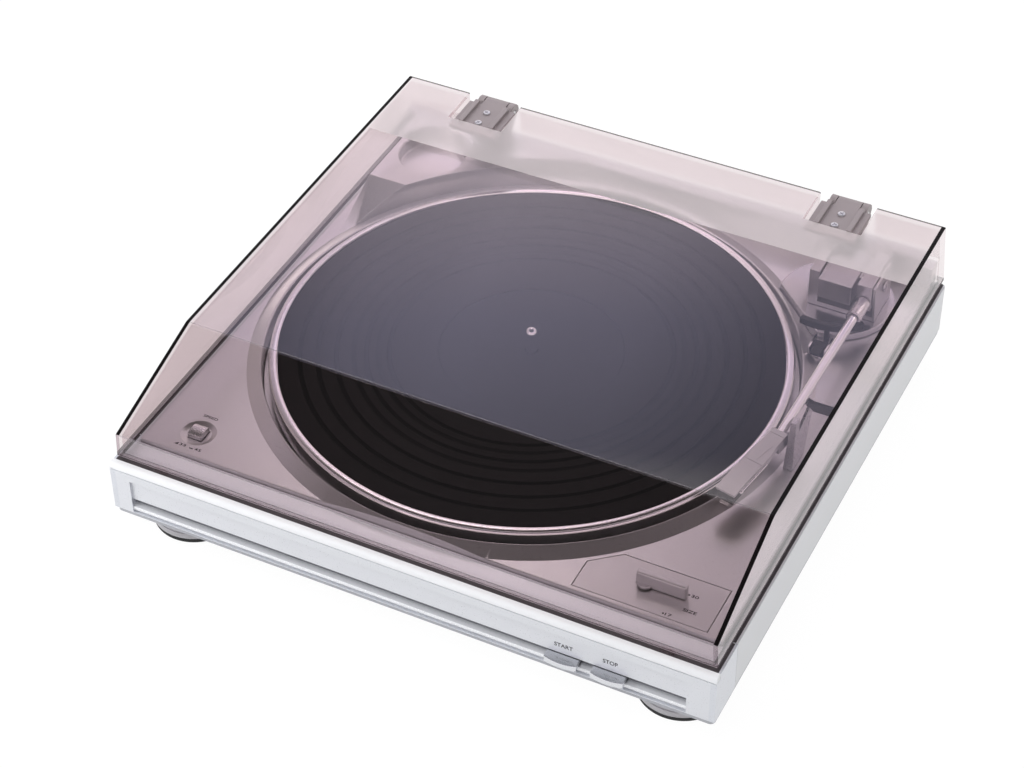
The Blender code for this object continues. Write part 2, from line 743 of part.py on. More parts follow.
def make_cord_gland():
    """Rubber bush in the back wall, flanged inside and out, with the lead's bore."""
    inside = BACK_Y - PLINTH_WALL
    gland = gland_rod(GLAND_RADIUS, inside - GLAND_FLANGE - GAP, BACK_Y + GAP + GLAND_FLANGE)
    join(gland, gland_rod(GLAND_RADIUS + GLAND_FLANGE, BACK_Y + GAP, BACK_Y + GAP + GLAND_FLANGE))
    join(gland, gland_rod(GLAND_RADIUS + GLAND_FLANGE, inside - GAP - GLAND_FLANGE, inside - GAP))
    join(gland, gland_rod(GLAND_RADIUS - GLAND_FLANGE / 2, BACK_Y, BACK_Y + GLAND_REACH))
    cut(gland, gland_rod(GLAND_BORE, inside - OVERRUN, BACK_Y + GLAND_REACH + OVERRUN))
    return finish(gland, "cord_gland", rubber())


def key_slot_x(number):
    return HALF_WIDTH - KEY_INSET - (1 - number) * KEY_PITCH


def key_low_z():
    return CABINET_Z + KEY_RISE


def pocket_outline():
    """Section of the long pocket: panel, cove, shelf and half-round bar."""
    low = CABINET_Z + POCKET_BASE
    bar_top = low + BAR_HEIGHT
    cove_low = bar_top + SHELF_HEIGHT
    panel_low = cove_low + COVE_RADIUS
    panel_high = panel_low + PANEL_HEIGHT
    panel_y = FRONT_Y + PANEL_DEPTH
    floor_y = panel_y + COVE_RADIUS
    high = panel_high + GROOVE_HEIGHT
    points = [(FRONT_Y - OVERRUN, low), (floor_y, low)]
    for step in range(1, ARC_FACETS):
        angle = -math.pi / 2 + math.pi * step / ARC_FACETS
        points.append((floor_y - BAR_BULGE * math.cos(angle),
                       low + BAR_HEIGHT / 2 + BAR_HEIGHT / 2 * math.sin(angle)))
    points.append((floor_y, bar_top))
    points += arc((panel_y, cove_low), COVE_RADIUS, 0.0, math.pi / 2, ARC_FACETS)
    points += [(panel_y, panel_high), (FRONT_Y + GROOVE_DEPTH, panel_high)]
    points += [(FRONT_Y + GROOVE_DEPTH, high), (FRONT_Y - OVERRUN, high)]
    return points


def make_front_fascia():
    """Front moulding that wraps both front corners back to the parting lines."""
    front = slab((-HALF_WIDTH, HALF_WIDTH), (FRONT_Y, PARTING_Y - GAP), (CABINET_Z, RIM_Z))
    inner = HALF_WIDTH - PLINTH_WALL
    mouth = DECK_HALF + GAP
    strip_back = FRONT_Y + STRIP_DEPTH
    cut(front, slab((-inner, inner), (FRONT_Y + FASCIA_WALL, PARTING_Y + OVERRUN),
                    (CABINET_Z - OVERRUN, RIM_Z - FASCIA_TOP)))
    cut(front, slab((-mouth, mouth), (DECK_FRONT_Y - GAP, PARTING_Y + OVERRUN),
                    (CABINET_Z, RIM_Z + OVERRUN)))
    cut(front, slab((-HALF_WIDTH - OVERRUN, HALF_WIDTH + OVERRUN), (FRONT_Y - OVERRUN, strip_back + GAP),
                    (RIM_Z - STRIP_DROP - GAP, RIM_Z + OVERRUN)))
    cut(front, prism(pocket_outline(), POCKET_LEFT_MARGIN - HALF_WIDTH,
                     HALF_WIDTH - POCKET_RIGHT_MARGIN, along="x"))
    for number in range(2):
        half = KEY_WIDTH / 2 + SLIDE_GAP
        middle = key_slot_x(number)
        cut(front, slab((middle - half, middle + half), (FRONT_Y - OVERRUN, FRONT_Y + FASCIA_WALL + OVERRUN),
                        (key_low_z() - SLIDE_GAP, key_low_z() + KEY_HEIGHT + SLIDE_GAP)))
    return finish(front, "front_fascia", silver_plastic())


def make_fascia_top_strip():
    """White half-round strip along the top of the fascia."""
    low = RIM_Z - STRIP_DROP
    high = low + STRIP_HEIGHT
    back = FRONT_Y + STRIP_DEPTH
    points = [(back, low), (FRONT_Y, low)]
    for step in range(ARC_FACETS + 1):
        angle = math.pi / 2 * step / ARC_FACETS
        points.append((FRONT_Y + STRIP_CROWN * (1 - math.cos(angle)),
                       high - STRIP_CROWN * (1 - math.sin(angle))))
    points.append((back, high))
    strip = prism(points, -HALF_WIDTH, HALF_WIDTH, along="x")
    return finish(strip, "fascia_top_strip", white_plastic())


def make_key(number, name):
    """Sliding key with a sloped top and a crowned front, on a long stem."""
    middle = key_slot_x(number)
    left = middle - KEY_WIDTH / 2
    right = middle + KEY_WIDTH / 2
    low = key_low_z()
    nose = FRONT_Y - KEY_REACH
    shoulder = nose + KEY_CROWN
    rise = math.atan2(KEY_WIDTH / 2, KEY_CROWN)
    radius = KEY_WIDTH / 2 / math.sin(math.pi - 2 * rise)
    sweep = math.pi - 2 * rise
    plan = [(right, FRONT_Y + KEY_LENGTH), (left, FRONT_Y + KEY_LENGTH), (left, shoulder)]
    plan += arc((middle, nose + radius), radius, 3 * math.pi / 2 - sweep, 3 * math.pi / 2 + sweep,
                ARC_FACETS)[1:-1]
    plan.append((right, shoulder))
    key = prism(plan, low, low + KEY_HEIGHT)
    top = low + KEY_HEIGHT
    wedge = [(nose - OVERRUN, top + OVERRUN), (nose - OVERRUN, top - KEY_SLOPE),
             (nose, top - KEY_SLOPE), (FRONT_Y, top), (FRONT_Y, top + OVERRUN)]
    cut(key, prism(wedge, left - OVERRUN, right + OVERRUN, along="x"))
    return finish(key, name, silver_plastic(), (middle, FRONT_Y, low))


def board_ranges():
    right = HALF_WIDTH - BOARD_INSET_X
    front = FRONT_Y + BOARD_INSET_Y
    return (right - BOARD_LENGTH, right), (front, front + BOARD_DEPTH)


def board_peg_places():
    (left, right), (front, back) = board_ranges()
    return [(x, y) for x in (left + BOARD_PEG_INSET, right - BOARD_PEG_INSET)
            for y in (front + BOARD_PEG_INSET, back - BOARD_PEG_INSET)]


def foot_places():
    places = {}
    for side_name, side in (("left", -1), ("right", 1)):
        x = side * (HALF_WIDTH - FOOT_INSET_X)
        places["front_" + side_name] = (x, FRONT_Y + FOOT_INSET_Y)
        places["rear_" + side_name] = (x, BACK_Y - FOOT_INSET_Y)
    return places


def make_bottom_cover():
    """Bottom pan with a locating lip, vents and the pegs of the circuit board."""
    half = HALF_WIDTH - BOTTOM_INSET
    front = FRONT_Y + BOTTOM_INSET
    back = BACK_Y - BOTTOM_INSET
    top = BASE_Z + BOTTOM_THICKNESS
    pan = prism(rounded((-half, half), (front, back), CORNER_RADIUS), BASE_Z, top)
    lip_half = HALF_WIDTH - PLINTH_WALL - SLIDE_GAP - 2 * POST_RADIUS
    lip_front = FRONT_Y + FASCIA_WALL + SLIDE_GAP
    lip_back = BACK_Y - PLINTH_WALL - SLIDE_GAP
    lip = slab((-lip_half, lip_half), (lip_front, lip_back), (BASE_Z + BOTTOM_THICKNESS / 2, top + LIP_HEIGHT))
    cut(lip, slab((LIP_WALL - lip_half, lip_half - LIP_WALL), (lip_front + LIP_WALL, lip_back - LIP_WALL),
                  (BASE_Z, top + LIP_HEIGHT + OVERRUN)))
    join(pan, lip)
    for place in board_peg_places():
        join(pan, disc(place, BOARD_PEG, BASE_Z + BOTTOM_THICKNESS / 2, top + BOARD_RISE - GAP, SMALL_FACETS))
    for number in range(VENT_COUNT):
        left = VENT_INSET_X - HALF_WIDTH + number * VENT_PITCH
        rear = BACK_Y - VENT_INSET_Y
        cut(pan, slab((left, left + VENT_WIDTH), (rear - VENT_LENGTH, rear), (BASE_Z - OVERRUN, top + OVERRUN)))
    return finish(pan, "bottom_cover", dark_plastic())


def make_foot(name, place):
    """Hollow turned foot under the bottom cover."""
    top = BASE_Z - GAP
    low = PAD_HEIGHT + GAP
    inner = FOOT_RADIUS - PAD_WIDTH - PAD_INSET
    profile = [(FOOT_RADIUS, low), (FOOT_RADIUS, low + FOOT_WAIST), (FOOT_RADIUS - FOOT_TAPER, top),
               (0.0, top), (0.0, top - FOOT_CROWN), (inner - FOOT_WALL / 2, top - FOOT_CROWN), (inner, low)]
    return finish(turned(profile, place, MID_FACETS), name, grey_plastic())


def make_foot_pad(name, place):
    outer = FOOT_RADIUS - PAD_INSET
    inner = outer - PAD_WIDTH
    profile = [(outer, 0.0), (outer, PAD_HEIGHT), (inner, PAD_HEIGHT), (inner, 0.0)]
    return finish(turned(profile, place, MID_FACETS), name, rubber())


def platter_disc(radius, low, high, facets=BIG_FACETS):
    return disc((PLATTER_X, PLATTER_Y), radius, low, high, facets)


def plateau_section(sink):
    """Section of the ramp and the raised corner, lowered by a wall for its inside."""
    ramp_y = DECK_BACK_Y - LEDGE_DEPTH - RAMP_START
    slope = PLATEAU_RISE / RAMP_LENGTH
    low = DECK_Z - sink - BITE
    foot_y = ramp_y - BITE / slope
    return [(foot_y, low), (ramp_y + RAMP_LENGTH, PLATEAU_Z - sink), (LEDGE_Y + DECK_WALL, PLATEAU_Z - sink),
            (LEDGE_Y + DECK_WALL, low)]


def adapter_place():
    return ADAPTER_INSET_X - DECK_HALF, DECK_BACK_Y - ADAPTER_INSET_Y


def speed_place():
    return SPEED_INSET_X - HALF_WIDTH, FRONT_Y + SPEED_INSET_Y


def size_pivot():
    return SIZE_PANEL_LEFT + SIZE_PIVOT_X, DECK_FRONT_Y + SIZE_PANEL_MARGIN + SIZE_PIVOT_Y


def size_panel_outline(grow):
    front = DECK_FRONT_Y + SIZE_PANEL_MARGIN - grow
    back = DECK_FRONT_Y + SIZE_PANEL_MARGIN + SIZE_PANEL_DEPTH + grow
    left = SIZE_PANEL_LEFT - grow
    right = SIZE_PANEL_RIGHT + grow
    return [(left, front), (right, front), (right, back), (left + SIZE_PANEL_SLANT_X, back),
            (left, back - SIZE_PANEL_SLANT_Y)]


def arm_base_outline(grow):
    """The base disc's outline, with the chord that faces the platter."""
    radius = ARM_BASE_RADIUS + grow
    half = math.acos((ARM_CHORD + grow) / radius)
    return arc((ARM_X, ARM_Y), radius, ARM_CHORD_ANGLE + half, ARM_CHORD_ANGLE - half + 2 * math.pi, MID_FACETS)


def chassis_ranges():
    return ((PLATTER_X - CHASSIS_LEFT, PLATTER_X + CHASSIS_RIGHT),
            (PLATTER_Y - CHASSIS_FRONT, PLATTER_Y + CHASSIS_REAR))


def chassis_corners():
    (left, right), (front, back) = chassis_ranges()
    return [(x, y) for x in (left + CHASSIS_CORNER, right - CHASSIS_CORNER)
            for y in (front + CHASSIS_CORNER, back - CHASSIS_CORNER)]


def rest_foot_ranges():
    front = tube_front_y() + REST_BACK
    left = tube_point(front)[0] + REST_OFFSET - GAP
    return (left - REST_WIDTH / 2, left + REST_WIDTH / 2), (front, front + REST_DEPTH)


def rest_peg_place():
    (left, right), (front, back) = rest_foot_ranges()
    return (left + right) / 2, (front + back) / 2


def lift_stem_place():
    return (ARM_X + LIFT_RADIUS * math.cos(LIFT_STEM_ANGLE), ARM_Y + LIFT_RADIUS * math.sin(LIFT_STEM_ANGLE))


def deck_outside():
    """Outer form of the deck: slab, rear ledge, ramp, collar and the well's cup."""
    deck = slab((-DECK_HALF, DECK_HALF), (DECK_FRONT_Y, DECK_BACK_Y), (SKIRT_Z, DECK_Z))
    join(deck, slab((-DECK_HALF, DECK_HALF), (LEDGE_Y, DECK_BACK_Y), (DECK_Z - BITE, PLATEAU_Z)))
    plateau = prism(plateau_section(0.0), PLATEAU_MARGIN - DECK_HALF, PLATTER_X, along="x")
    cut(plateau, platter_disc(COLLAR_RADIUS, SKIRT_Z, PLATEAU_Z + OVERRUN))
    join(deck, plateau)
    slope = COLLAR_WIDTH / COLLAR_RISE
    collar = turned([(0.0, WELL_UNDER_Z), (LIP_RADIUS + DECK_WALL - LIP_FLAT, WELL_UNDER_Z),
                     (LIP_RADIUS + DECK_WALL - LIP_FLAT, DECK_Z - BITE),
                     (COLLAR_RADIUS + slope * BITE, DECK_Z - BITE), (LIP_RADIUS, COLLAR_Z), (0.0, COLLAR_Z)],
                    (PLATTER_X, PLATTER_Y), BIG_FACETS)
    cut(collar, slab((-PLINTH_WIDTH, PLINTH_WIDTH), (DECK_FRONT_Y - PLINTH_DEPTH, DECK_FRONT_Y),
                     (WELL_UNDER_Z - OVERRUN, COLLAR_Z + OVERRUN)))
    join(deck, collar)
    return deck


def deck_inside():
    """Hollow under the deck, kept off the well's cup by one wall."""
    inner = DECK_HALF - DECK_WALL
    hollow = slab((-inner, inner), (DECK_FRONT_Y + DECK_WALL, DECK_BACK_Y - DECK_WALL),
                  (SKIRT_Z - OVERRUN, DECK_Z - DECK_WALL))
    join(hollow, slab((-inner, inner), (LEDGE_Y + DECK_WALL, DECK_BACK_Y - DECK_WALL),
                      (SKIRT_Z, PLATEAU_Z - DECK_WALL)))
    raised = prism(plateau_section(DECK_WALL), PLATEAU_MARGIN + DECK_WALL - DECK_HALF, PLATTER_X, along="x")
    cut(raised, platter_disc(COLLAR_RADIUS + DECK_WALL, SKIRT_Z, PLATEAU_Z + OVERRUN))
    cut(raised, disc(adapter_place(), ADAPTER_RADIUS + DECK_WALL,
                     PLATEAU_Z - ADAPTER_DEPTH - DECK_WALL, PLATEAU_Z + OVERRUN, MID_FACETS))
    join(hollow, raised)
    cut(hollow, platter_disc(WELL_RADIUS + DECK_WALL, WELL_UNDER_Z - OVERRUN, DECK_Z))
    return hollow


def make_top_deck():
    """Moulded deck: collar and well of the platter, ramp, adapter recess, seats."""
    deck = deck_outside()
    cut(deck, deck_inside())
    cut(deck, platter_disc(WELL_RADIUS, WELL_Z, COLLAR_Z + OVERRUN))
    cut(deck, platter_disc(HUB_HOLE, WELL_UNDER_Z - OVERRUN, WELL_Z + OVERRUN, MID_FACETS))
    cut(deck, disc(adapter_place(), ADAPTER_RADIUS, PLATEAU_Z - ADAPTER_DEPTH, PLATEAU_Z + OVERRUN, MID_FACETS))
    cut(deck, prism(arm_base_outline(GAP), DECK_Z, COLLAR_Z + OVERRUN))
    cut(deck, disc((ARM_X, ARM_Y), ARM_BOSS_RADIUS + GAP, SKIRT_Z, COLLAR_Z, MID_FACETS))
    cut(deck, disc((MOTOR_X, MOTOR_Y), PULLEY_RADIUS + PULLEY_FLANGE + SLIDE_GAP,
                   WELL_UNDER_Z - OVERRUN, WELL_Z + OVERRUN, SMALL_FACETS))
    cut(deck, prism(size_panel_outline(GAP), DECK_Z - SIZE_PANEL_THICKNESS - GAP, DECK_Z + OVERRUN))
    cut(deck, disc(size_pivot(), SIZE_STEM_RADIUS + GAP, SKIRT_Z, DECK_Z, SMALL_FACETS))
    cut(deck, disc(lift_stem_place(), LIFT_STEM_RADIUS + SLIDE_GAP, SKIRT_Z, COLLAR_Z, SMALL_FACETS))
    (left, right), (front, back) = cradle_ranges()
    cut(deck, slab((left - GAP, right + GAP), (front - GAP, back + GAP), (DECK_Z, COLLAR_Z + OVERRUN)))
    cut(deck, disc(rest_peg_place(), REST_PEG + GAP, SKIRT_Z, COLLAR_Z, SMALL_FACETS))
    cut_deck_slot(deck)
    cut_speed_dish(deck)
    for place in chassis_corners():
        join(deck, disc(place, CHASSIS_BOSS, CHASSIS_TOP_Z + GAP, WELL_UNDER_Z + BITE, SMALL_FACETS))
    return finish(deck, "top_deck", satin_deck())


def cut_deck_slot(deck):
    """Shallow slot near the right edge, with a pointed left end."""
    right = DECK_HALF - SLOT_EDGE
    left = right - SLOT_LENGTH
    back = ARM_Y - SLOT_TO_ARM + SLOT_WIDTH / 2
    front = back - SLOT_WIDTH
    outline = [(left, front + SLOT_WIDTH / 4), (left + SLOT_NOSE, front), (right, front),
               (right, back), (left, back)]
    cut(deck, prism(outline, DECK_Z - SLOT_DEPTH, DECK_Z + OVERRUN))


def cut_speed_dish(deck):
    """Dished seat of the speed key, with the key's square hole."""
    x, y = speed_place()
    dish = [(0.0, DECK_Z - SPEED_DISH_DEPTH), (SPEED_DISH_FLOOR, DECK_Z - SPEED_DISH_DEPTH),
            (SPEED_DISH_RADIUS, DECK_Z), (SPEED_DISH_RADIUS, DECK_Z + OVERRUN), (0.0, DECK_Z + OVERRUN)]
    cut(deck, turned(dish, (x, y), MID_FACETS))
    half = SPEED_WIDTH / 2 + SLIDE_GAP
    reach = SPEED_DEPTH / 2 + SLIDE_GAP
    cut(deck, slab((x - half, x + half), (y - reach, y + reach), (SKIRT_Z, DECK_Z + OVERRUN)))


def make_size_panel():
    """Inset plate that carries the size lever."""
    low = DECK_Z - SIZE_PANEL_THICKNESS
    panel = prism(size_panel_outline(0.0), low, DECK_Z)
    cut(panel, disc(size_pivot(), SIZE_STEM_RADIUS + GAP, low - OVERRUN, DECK_Z + OVERRUN, SMALL_FACETS))
    return finish(panel, "size_panel", satin_deck())


def make_size_lever():
    """Lever with a round foot and an upright fin, on a stem through the deck."""
    x, y = size_pivot()
    low = DECK_Z + GAP
    lever = disc((x, y), SIZE_DISC_RADIUS, low, low + SIZE_DISC_HEIGHT, SMALL_FACETS)
    fin = slab((x - SIZE_FIN_BACK, x + SIZE_FIN_FRONT), (y - SIZE_FIN_WIDTH / 2, y + SIZE_FIN_WIDTH / 2),
               (low, low + SIZE_FIN_HEIGHT))
    soften(fin, SIZE_FIN_BEVEL, 2)
    join(lever, fin)
    join(lever, disc((x, y), SIZE_STEM_RADIUS, DECK_Z - SIZE_STEM_DEPTH, low + BITE, SMALL_FACETS))
    return finish(lever, "size_lever", grey_plastic(), (x, y, DECK_Z))


def make_speed_button():
    """Square key with a sloped crown, pushed down to change the speed."""
    x, y = speed_place()
    half = SPEED_WIDTH / 2
    reach = SPEED_DEPTH / 2
    low = DECK_Z - SPEED_STEM
    high = DECK_Z + SPEED_RISE
    section = [(y - reach, low), (y + reach, low), (y + reach, high - SPEED_CROWN)]
    section += [(y + reach / 2, high), (y - reach / 2, high), (y - reach, high - SPEED_CROWN)]
    key = prism(section, x - half, x + half, along="x")
    return finish(key, "speed_button", silver_plastic(), (x, y, DECK_Z))


def make_platter():
    """Cast platter: rim, plate, skirt, hub, belt ring and radial ribs."""
    skirt_low = PLATTER_TOP_Z - PLATTER_SKIRT
    ring_low = PLATE_UNDER_Z - BELT_RING_DEPTH
    seat = MAT_RADIUS + GAP
    inner = PLATTER_RADIUS - SKIRT_WALL
    ring_inner = BELT_RING_RADIUS - BELT_RING_WALL
    profile = [(SPINDLE_RADIUS + GAP, PLATE_Z), (seat, PLATE_Z), (seat, PLATTER_TOP_Z - GAP),
               (seat + GAP, PLATTER_TOP_Z), (PLATTER_RADIUS - BITE, PLATTER_TOP_Z),
               (PLATTER_RADIUS, PLATTER_TOP_Z - BITE), (PLATTER_RADIUS, skirt_low), (inner, skirt_low),
               (inner, PLATE_UNDER_Z), (BELT_RING_RADIUS, PLATE_UNDER_Z), (BELT_RING_RADIUS, ring_low),
               (ring_inner, ring_low), (ring_inner, PLATE_UNDER_Z), (HUB_RADIUS, PLATE_UNDER_Z),
               (HUB_RADIUS, ring_low), (SPINDLE_RADIUS + GAP, ring_low)]
    platter = turned(profile, (PLATTER_X, PLATTER_Y), BIG_FACETS)
    for number in range(PLATTER_RIB_COUNT):
        angle = 2 * math.pi * number / PLATTER_RIB_COUNT
        rib = slab((HUB_RADIUS - BITE, ring_inner + BITE), (-PLATTER_RIB_WALL / 2, PLATTER_RIB_WALL / 2),
                   (PLATE_UNDER_Z - PLATTER_RIB_DEPTH, PLATE_UNDER_Z + BITE))
        move(rib, Matrix.Translation((PLATTER_X, PLATTER_Y, 0.0)) @ Matrix.Rotation(angle, 4, "Z"))
        join(platter, rib)
    cut(platter, disc((MOTOR_X, MOTOR_Y), FINGER_HOLE_RADIUS, PLATE_UNDER_Z - OVERRUN,
                      PLATE_Z + OVERRUN, SMALL_FACETS))
    return finish(platter, "platter", aluminium(), (PLATTER_X, PLATTER_Y, PLATE_Z))


def make_platter_mat():
    """Ribbed rubber mat with a sunk label circle."""
    low = PLATE_Z + GAP
    label_z = MAT_TOP_Z - LABEL_SINK
    profile = [(SPINDLE_RADIUS + GAP, low), (MAT_RADIUS, low), (MAT_RADIUS, MAT_TOP_Z)]
    for share in MAT_GROOVE_SHARES:
        radius = share * MAT_RADIUS
        profile += [(radius + MAT_GROOVE_HALF, MAT_TOP_Z), (radius, MAT_TOP_Z - MAT_GROOVE),
                    (radius - MAT_GROOVE_HALF, MAT_TOP_Z)]
    profile += [(LABEL_RADIUS + BITE, MAT_TOP_Z), (LABEL_RADIUS, label_z), (SPINDLE_RADIUS + GAP, label_z)]
    mat = turned(profile, (PLATTER_X, PLATTER_Y), BIG_FACETS)
    return finish(mat, "platter_mat", rubber(), (PLATTER_X, PLATTER_Y, PLATE_Z))


def make_spindle():
    """Domed spindle on the shaft that turns in the bearing."""
    top = MAT_TOP_Z + SPINDLE_RISE
    gear_seat = GEAR_Z - GAP
    profile = [(0.0, CHASSIS_TOP_Z - SPINDLE_DEPTH / 4), (SPINDLE_SHAFT, CHASSIS_TOP_Z - SPINDLE_DEPTH / 4),
               (SPINDLE_SHAFT, gear_seat), (SPINDLE_RADIUS, gear_seat)]
    for step in range(ARC_FACETS):
        angle = math.pi / 2 * step / ARC_FACETS
        profile.append((SPINDLE_RADIUS * math.cos(angle), top - SPINDLE_RADIUS * (1 - math.sin(angle))))
    profile.append((0.0, top))
    spindle = turned(profile, (PLATTER_X, PLATTER_Y), SMALL_FACETS)
    return finish(spindle, "spindle", chrome(), (PLATTER_X, PLATTER_Y, PLATE_Z))


def gear_outline(centre, teeth, bare, phase):
    """Trapezoid teeth on a pitch circle. The last few can be left out."""
    pitch = teeth * TOOTH_MODULE / 2
    root = pitch - TOOTH_MODULE * TOOTH_ROOT_SHARE
    tip = pitch + TOOTH_MODULE * TOOTH_TIP_SHARE
    step = 2 * math.pi / teeth
    points = []
    for number in range(teeth):
        middle = phase + number * step
        if number >= teeth - bare:
            shape = ((-1 / 2, root),)
        else:
            shape = ((-TOOTH_FOOT_SHARE, root), (-TOOTH_LAND_SHARE, tip),
                     (TOOTH_LAND_SHARE, tip), (TOOTH_FOOT_SHARE, root))
        for share, radius in shape:
            angle = middle + share * step
            points.append((centre[0] + radius * math.cos(angle), centre[1] + radius * math.sin(angle)))
    return points


def make_hub_gear():
    """Small gear on the platter's shaft, under the well's floor."""
    centre = (PLATTER_X, PLATTER_Y)
    gear = prism(gear_outline(centre, HUB_TEETH, 0, 0.0), GEAR_Z, GEAR_TOP_Z)
    join(gear, disc(centre, HUB_PITCH_RADIUS - 2 * TOOTH_MODULE, GEAR_TOP_Z - BITE,
                    PLATE_UNDER_Z - BELT_RING_DEPTH - GAP, SMALL_FACETS))
    cut(gear, disc(centre, SPINDLE_RADIUS + GAP, GEAR_Z - OVERRUN, PLATE_UNDER_Z, SMALL_FACETS))
    return finish(gear, "hub_gear", white_plastic(), (PLATTER_X, PLATTER_Y, PLATE_Z))


def make_cam_gear():
    """Main gear of the automatic cycle. Its toothless sector idles at the hub."""
    centre = (CAM_X, CAM_Y)
    step = 2 * math.pi / CAM_TEETH
    phase = CAM_ANGLE + math.pi + step * (CAM_BARE_TEETH + 1) / 2
    gear = prism(gear_outline(centre, CAM_TEETH, CAM_BARE_TEETH, phase), GEAR_Z, GEAR_TOP_Z)
    track = disc(centre, CAM_TRACK_RADIUS + CAM_TRACK_WIDTH, GEAR_Z - OVERRUN,
                 GEAR_Z + CAM_TRACK_DEPTH, MID_FACETS)
    cut(track, disc(centre, CAM_TRACK_RADIUS, GEAR_Z - 2 * OVERRUN, GEAR_TOP_Z, MID_FACETS))
    cut(gear, track)
    cut(gear, disc(centre, CAM_AXLE_RADIUS + GAP, GEAR_Z - OVERRUN, GEAR_TOP_Z + OVERRUN, SMALL_FACETS))
    return finish(gear, "cam_gear", white_plastic())


def make_sub_chassis():
    """Pressed plate hung from the deck's bosses, with the cam gear's axle."""
    x_range, y_range = chassis_ranges()
    plate = prism(rounded(x_range, y_range, CHASSIS_CORNER), CHASSIS_Z, CHASSIS_TOP_Z)
    cut(plate, platter_disc(BEARING_RADIUS + GAP, CHASSIS_Z - OVERRUN, CHASSIS_TOP_Z + OVERRUN, SMALL_FACETS))
    join(plate, disc((CAM_X, CAM_Y), 2 * CAM_AXLE_RADIUS, CHASSIS_Z, GEAR_Z - GAP, SMALL_FACETS))
    join(plate, disc((CAM_X, CAM_Y), CAM_AXLE_RADIUS, CHASSIS_Z, GEAR_TOP_Z + BITE, SMALL_FACETS))
    return finish(plate, "sub_chassis", steel())


def make_spindle_bearing():
    """Flanged sleeve that carries the spindle's shaft."""
    low = CHASSIS_Z - BEARING_FLANGE_HEIGHT
    flange_low = CHASSIS_TOP_Z + GAP
    flange_top = flange_low + BEARING_FLANGE_HEIGHT
    profile = [(0.0, low), (BEARING_RADIUS, low), (BEARING_RADIUS, flange_low), (BEARING_FLANGE, flange_low),
               (BEARING_FLANGE, flange_top), (SPINDLE_SHAFT + GAP, flange_top),
               (SPINDLE_SHAFT + GAP, CHASSIS_TOP_Z - SPINDLE_DEPTH / 4 - GAP),
               (0.0, CHASSIS_TOP_Z - SPINDLE_DEPTH / 4 - GAP)]
    return finish(turned(profile, (PLATTER_X, PLATTER_Y), SMALL_FACETS), "spindle_bearing", brass())


def make_main_lever():
    """Lever that carries the cam's motion to the arm, resting on the sub chassis."""
    low = CHASSIS_TOP_Z + GAP
    reach = Vector((ARM_X - CAM_X, ARM_Y - CAM_Y))
    start = 2 * CAM_AXLE_RADIUS + SLIDE_GAP + LEVER_WIDTH / 2
    end = reach.length - RETURN_LEVER_REACH - LEVER_CLEARANCE
    lever = prism(rounded((start - LEVER_WIDTH / 2, end), (-LEVER_WIDTH / 2, LEVER_WIDTH / 2),
                          LEVER_WIDTH / 3), low, low + LEVER_THICKNESS)
    turn = Matrix.Rotation(math.atan2(reach.y, reach.x), 4, "Z")
    move(lever, Matrix.Translation((CAM_X, CAM_Y, 0.0)) @ turn)
    return finish(lever, "main_lever", steel())


def make_drive_motor():
    """Round motor can under the well's floor, with its shaft through it."""
    top = WELL_UNDER_Z - GAP
    low = top - MOTOR_HEIGHT
    profile = [(0.0, low), (MOTOR_RADIUS - MOTOR_BEND, low), (MOTOR_RADIUS, low + MOTOR_BEND),
               (MOTOR_RADIUS, top), (SHAFT_RADIUS, top), (SHAFT_RADIUS, WELL_Z + PULLEY_DEPTH),
               (0.0, WELL_Z + PULLEY_DEPTH)]
    return finish(turned(profile, (MOTOR_X, MOTOR_Y), MID_FACETS), "drive_motor", steel())


def make_motor_pulley():
    """Crowned pulley with a lower flange."""
    low = WELL_Z + BITE
    top = PLATE_UNDER_Z - BITE
    waist = PULLEY_RADIUS - PULLEY_FLANGE / 4
    profile = [(SHAFT_RADIUS + GAP, low), (PULLEY_RADIUS + PULLEY_FLANGE, low),
               (PULLEY_RADIUS + PULLEY_FLANGE, low + PULLEY_FLANGE_HEIGHT), (waist, low + PULLEY_FLANGE_HEIGHT),
               (PULLEY_RADIUS, (low + PULLEY_FLANGE_HEIGHT + top) / 2), (waist, top), (SHAFT_RADIUS + GAP, top)]
    pulley = turned(profile, (MOTOR_X, MOTOR_Y), SMALL_FACETS)
    return finish(pulley, "motor_pulley", brass(), (MOTOR_X, MOTOR_Y, low))


def belt_outline(grow):
    """Open belt path round the platter's ring and the pulley."""
    big = BELT_RING_RADIUS + grow
    small = PULLEY_RADIUS + grow
    lean = math.acos((big - small) / MOTOR_DISTANCE)
    points = arc((PLATTER_X, PLATTER_Y), big, MOTOR_ANGLE + lean, MOTOR_ANGLE + 2 * math.pi - lean, MID_FACETS)
    points += arc((MOTOR_X, MOTOR_Y), small, MOTOR_ANGLE - lean, MOTOR_ANGLE + lean, ARC_FACETS)
    return points


def make_drive_belt():
    """Flat rubber belt, a facet's sag clear of the ring and the pulley."""
    middle = PLATE_UNDER_Z - BELT_RING_DEPTH / 2
    low = middle - BELT_HEIGHT / 2
    high = middle + BELT_HEIGHT / 2
    belt = prism(belt_outline(SLIDE_GAP + BELT_THICKNESS), low, high)
    cut(belt, prism(belt_outline(SLIDE_GAP), low - OVERRUN, high + OVERRUN))
    return finish(belt, "drive_belt", rubber())


def make_circuit_board():
    """Board with a row of components, near the keys."""
    (left, right), (front, back) = board_ranges()
    low = BASE_Z + BOTTOM_THICKNESS + BOARD_RISE
    top = low + BOARD_THICKNESS
    board = slab((left, right), (front, back), (low, top))
    place = left + CHIP_SPACE
    for width in CHIP_WIDTHS:
        join(board, slab((place, place + width), (front + CHIP_SPACE / 2, back - CHIP_SPACE / 2),
                         (top - BOARD_THICKNESS / 2, top + CHIP_HEIGHT)))
        place += width + CHIP_SPACE
    return finish(board, "circuit_board", board_green())


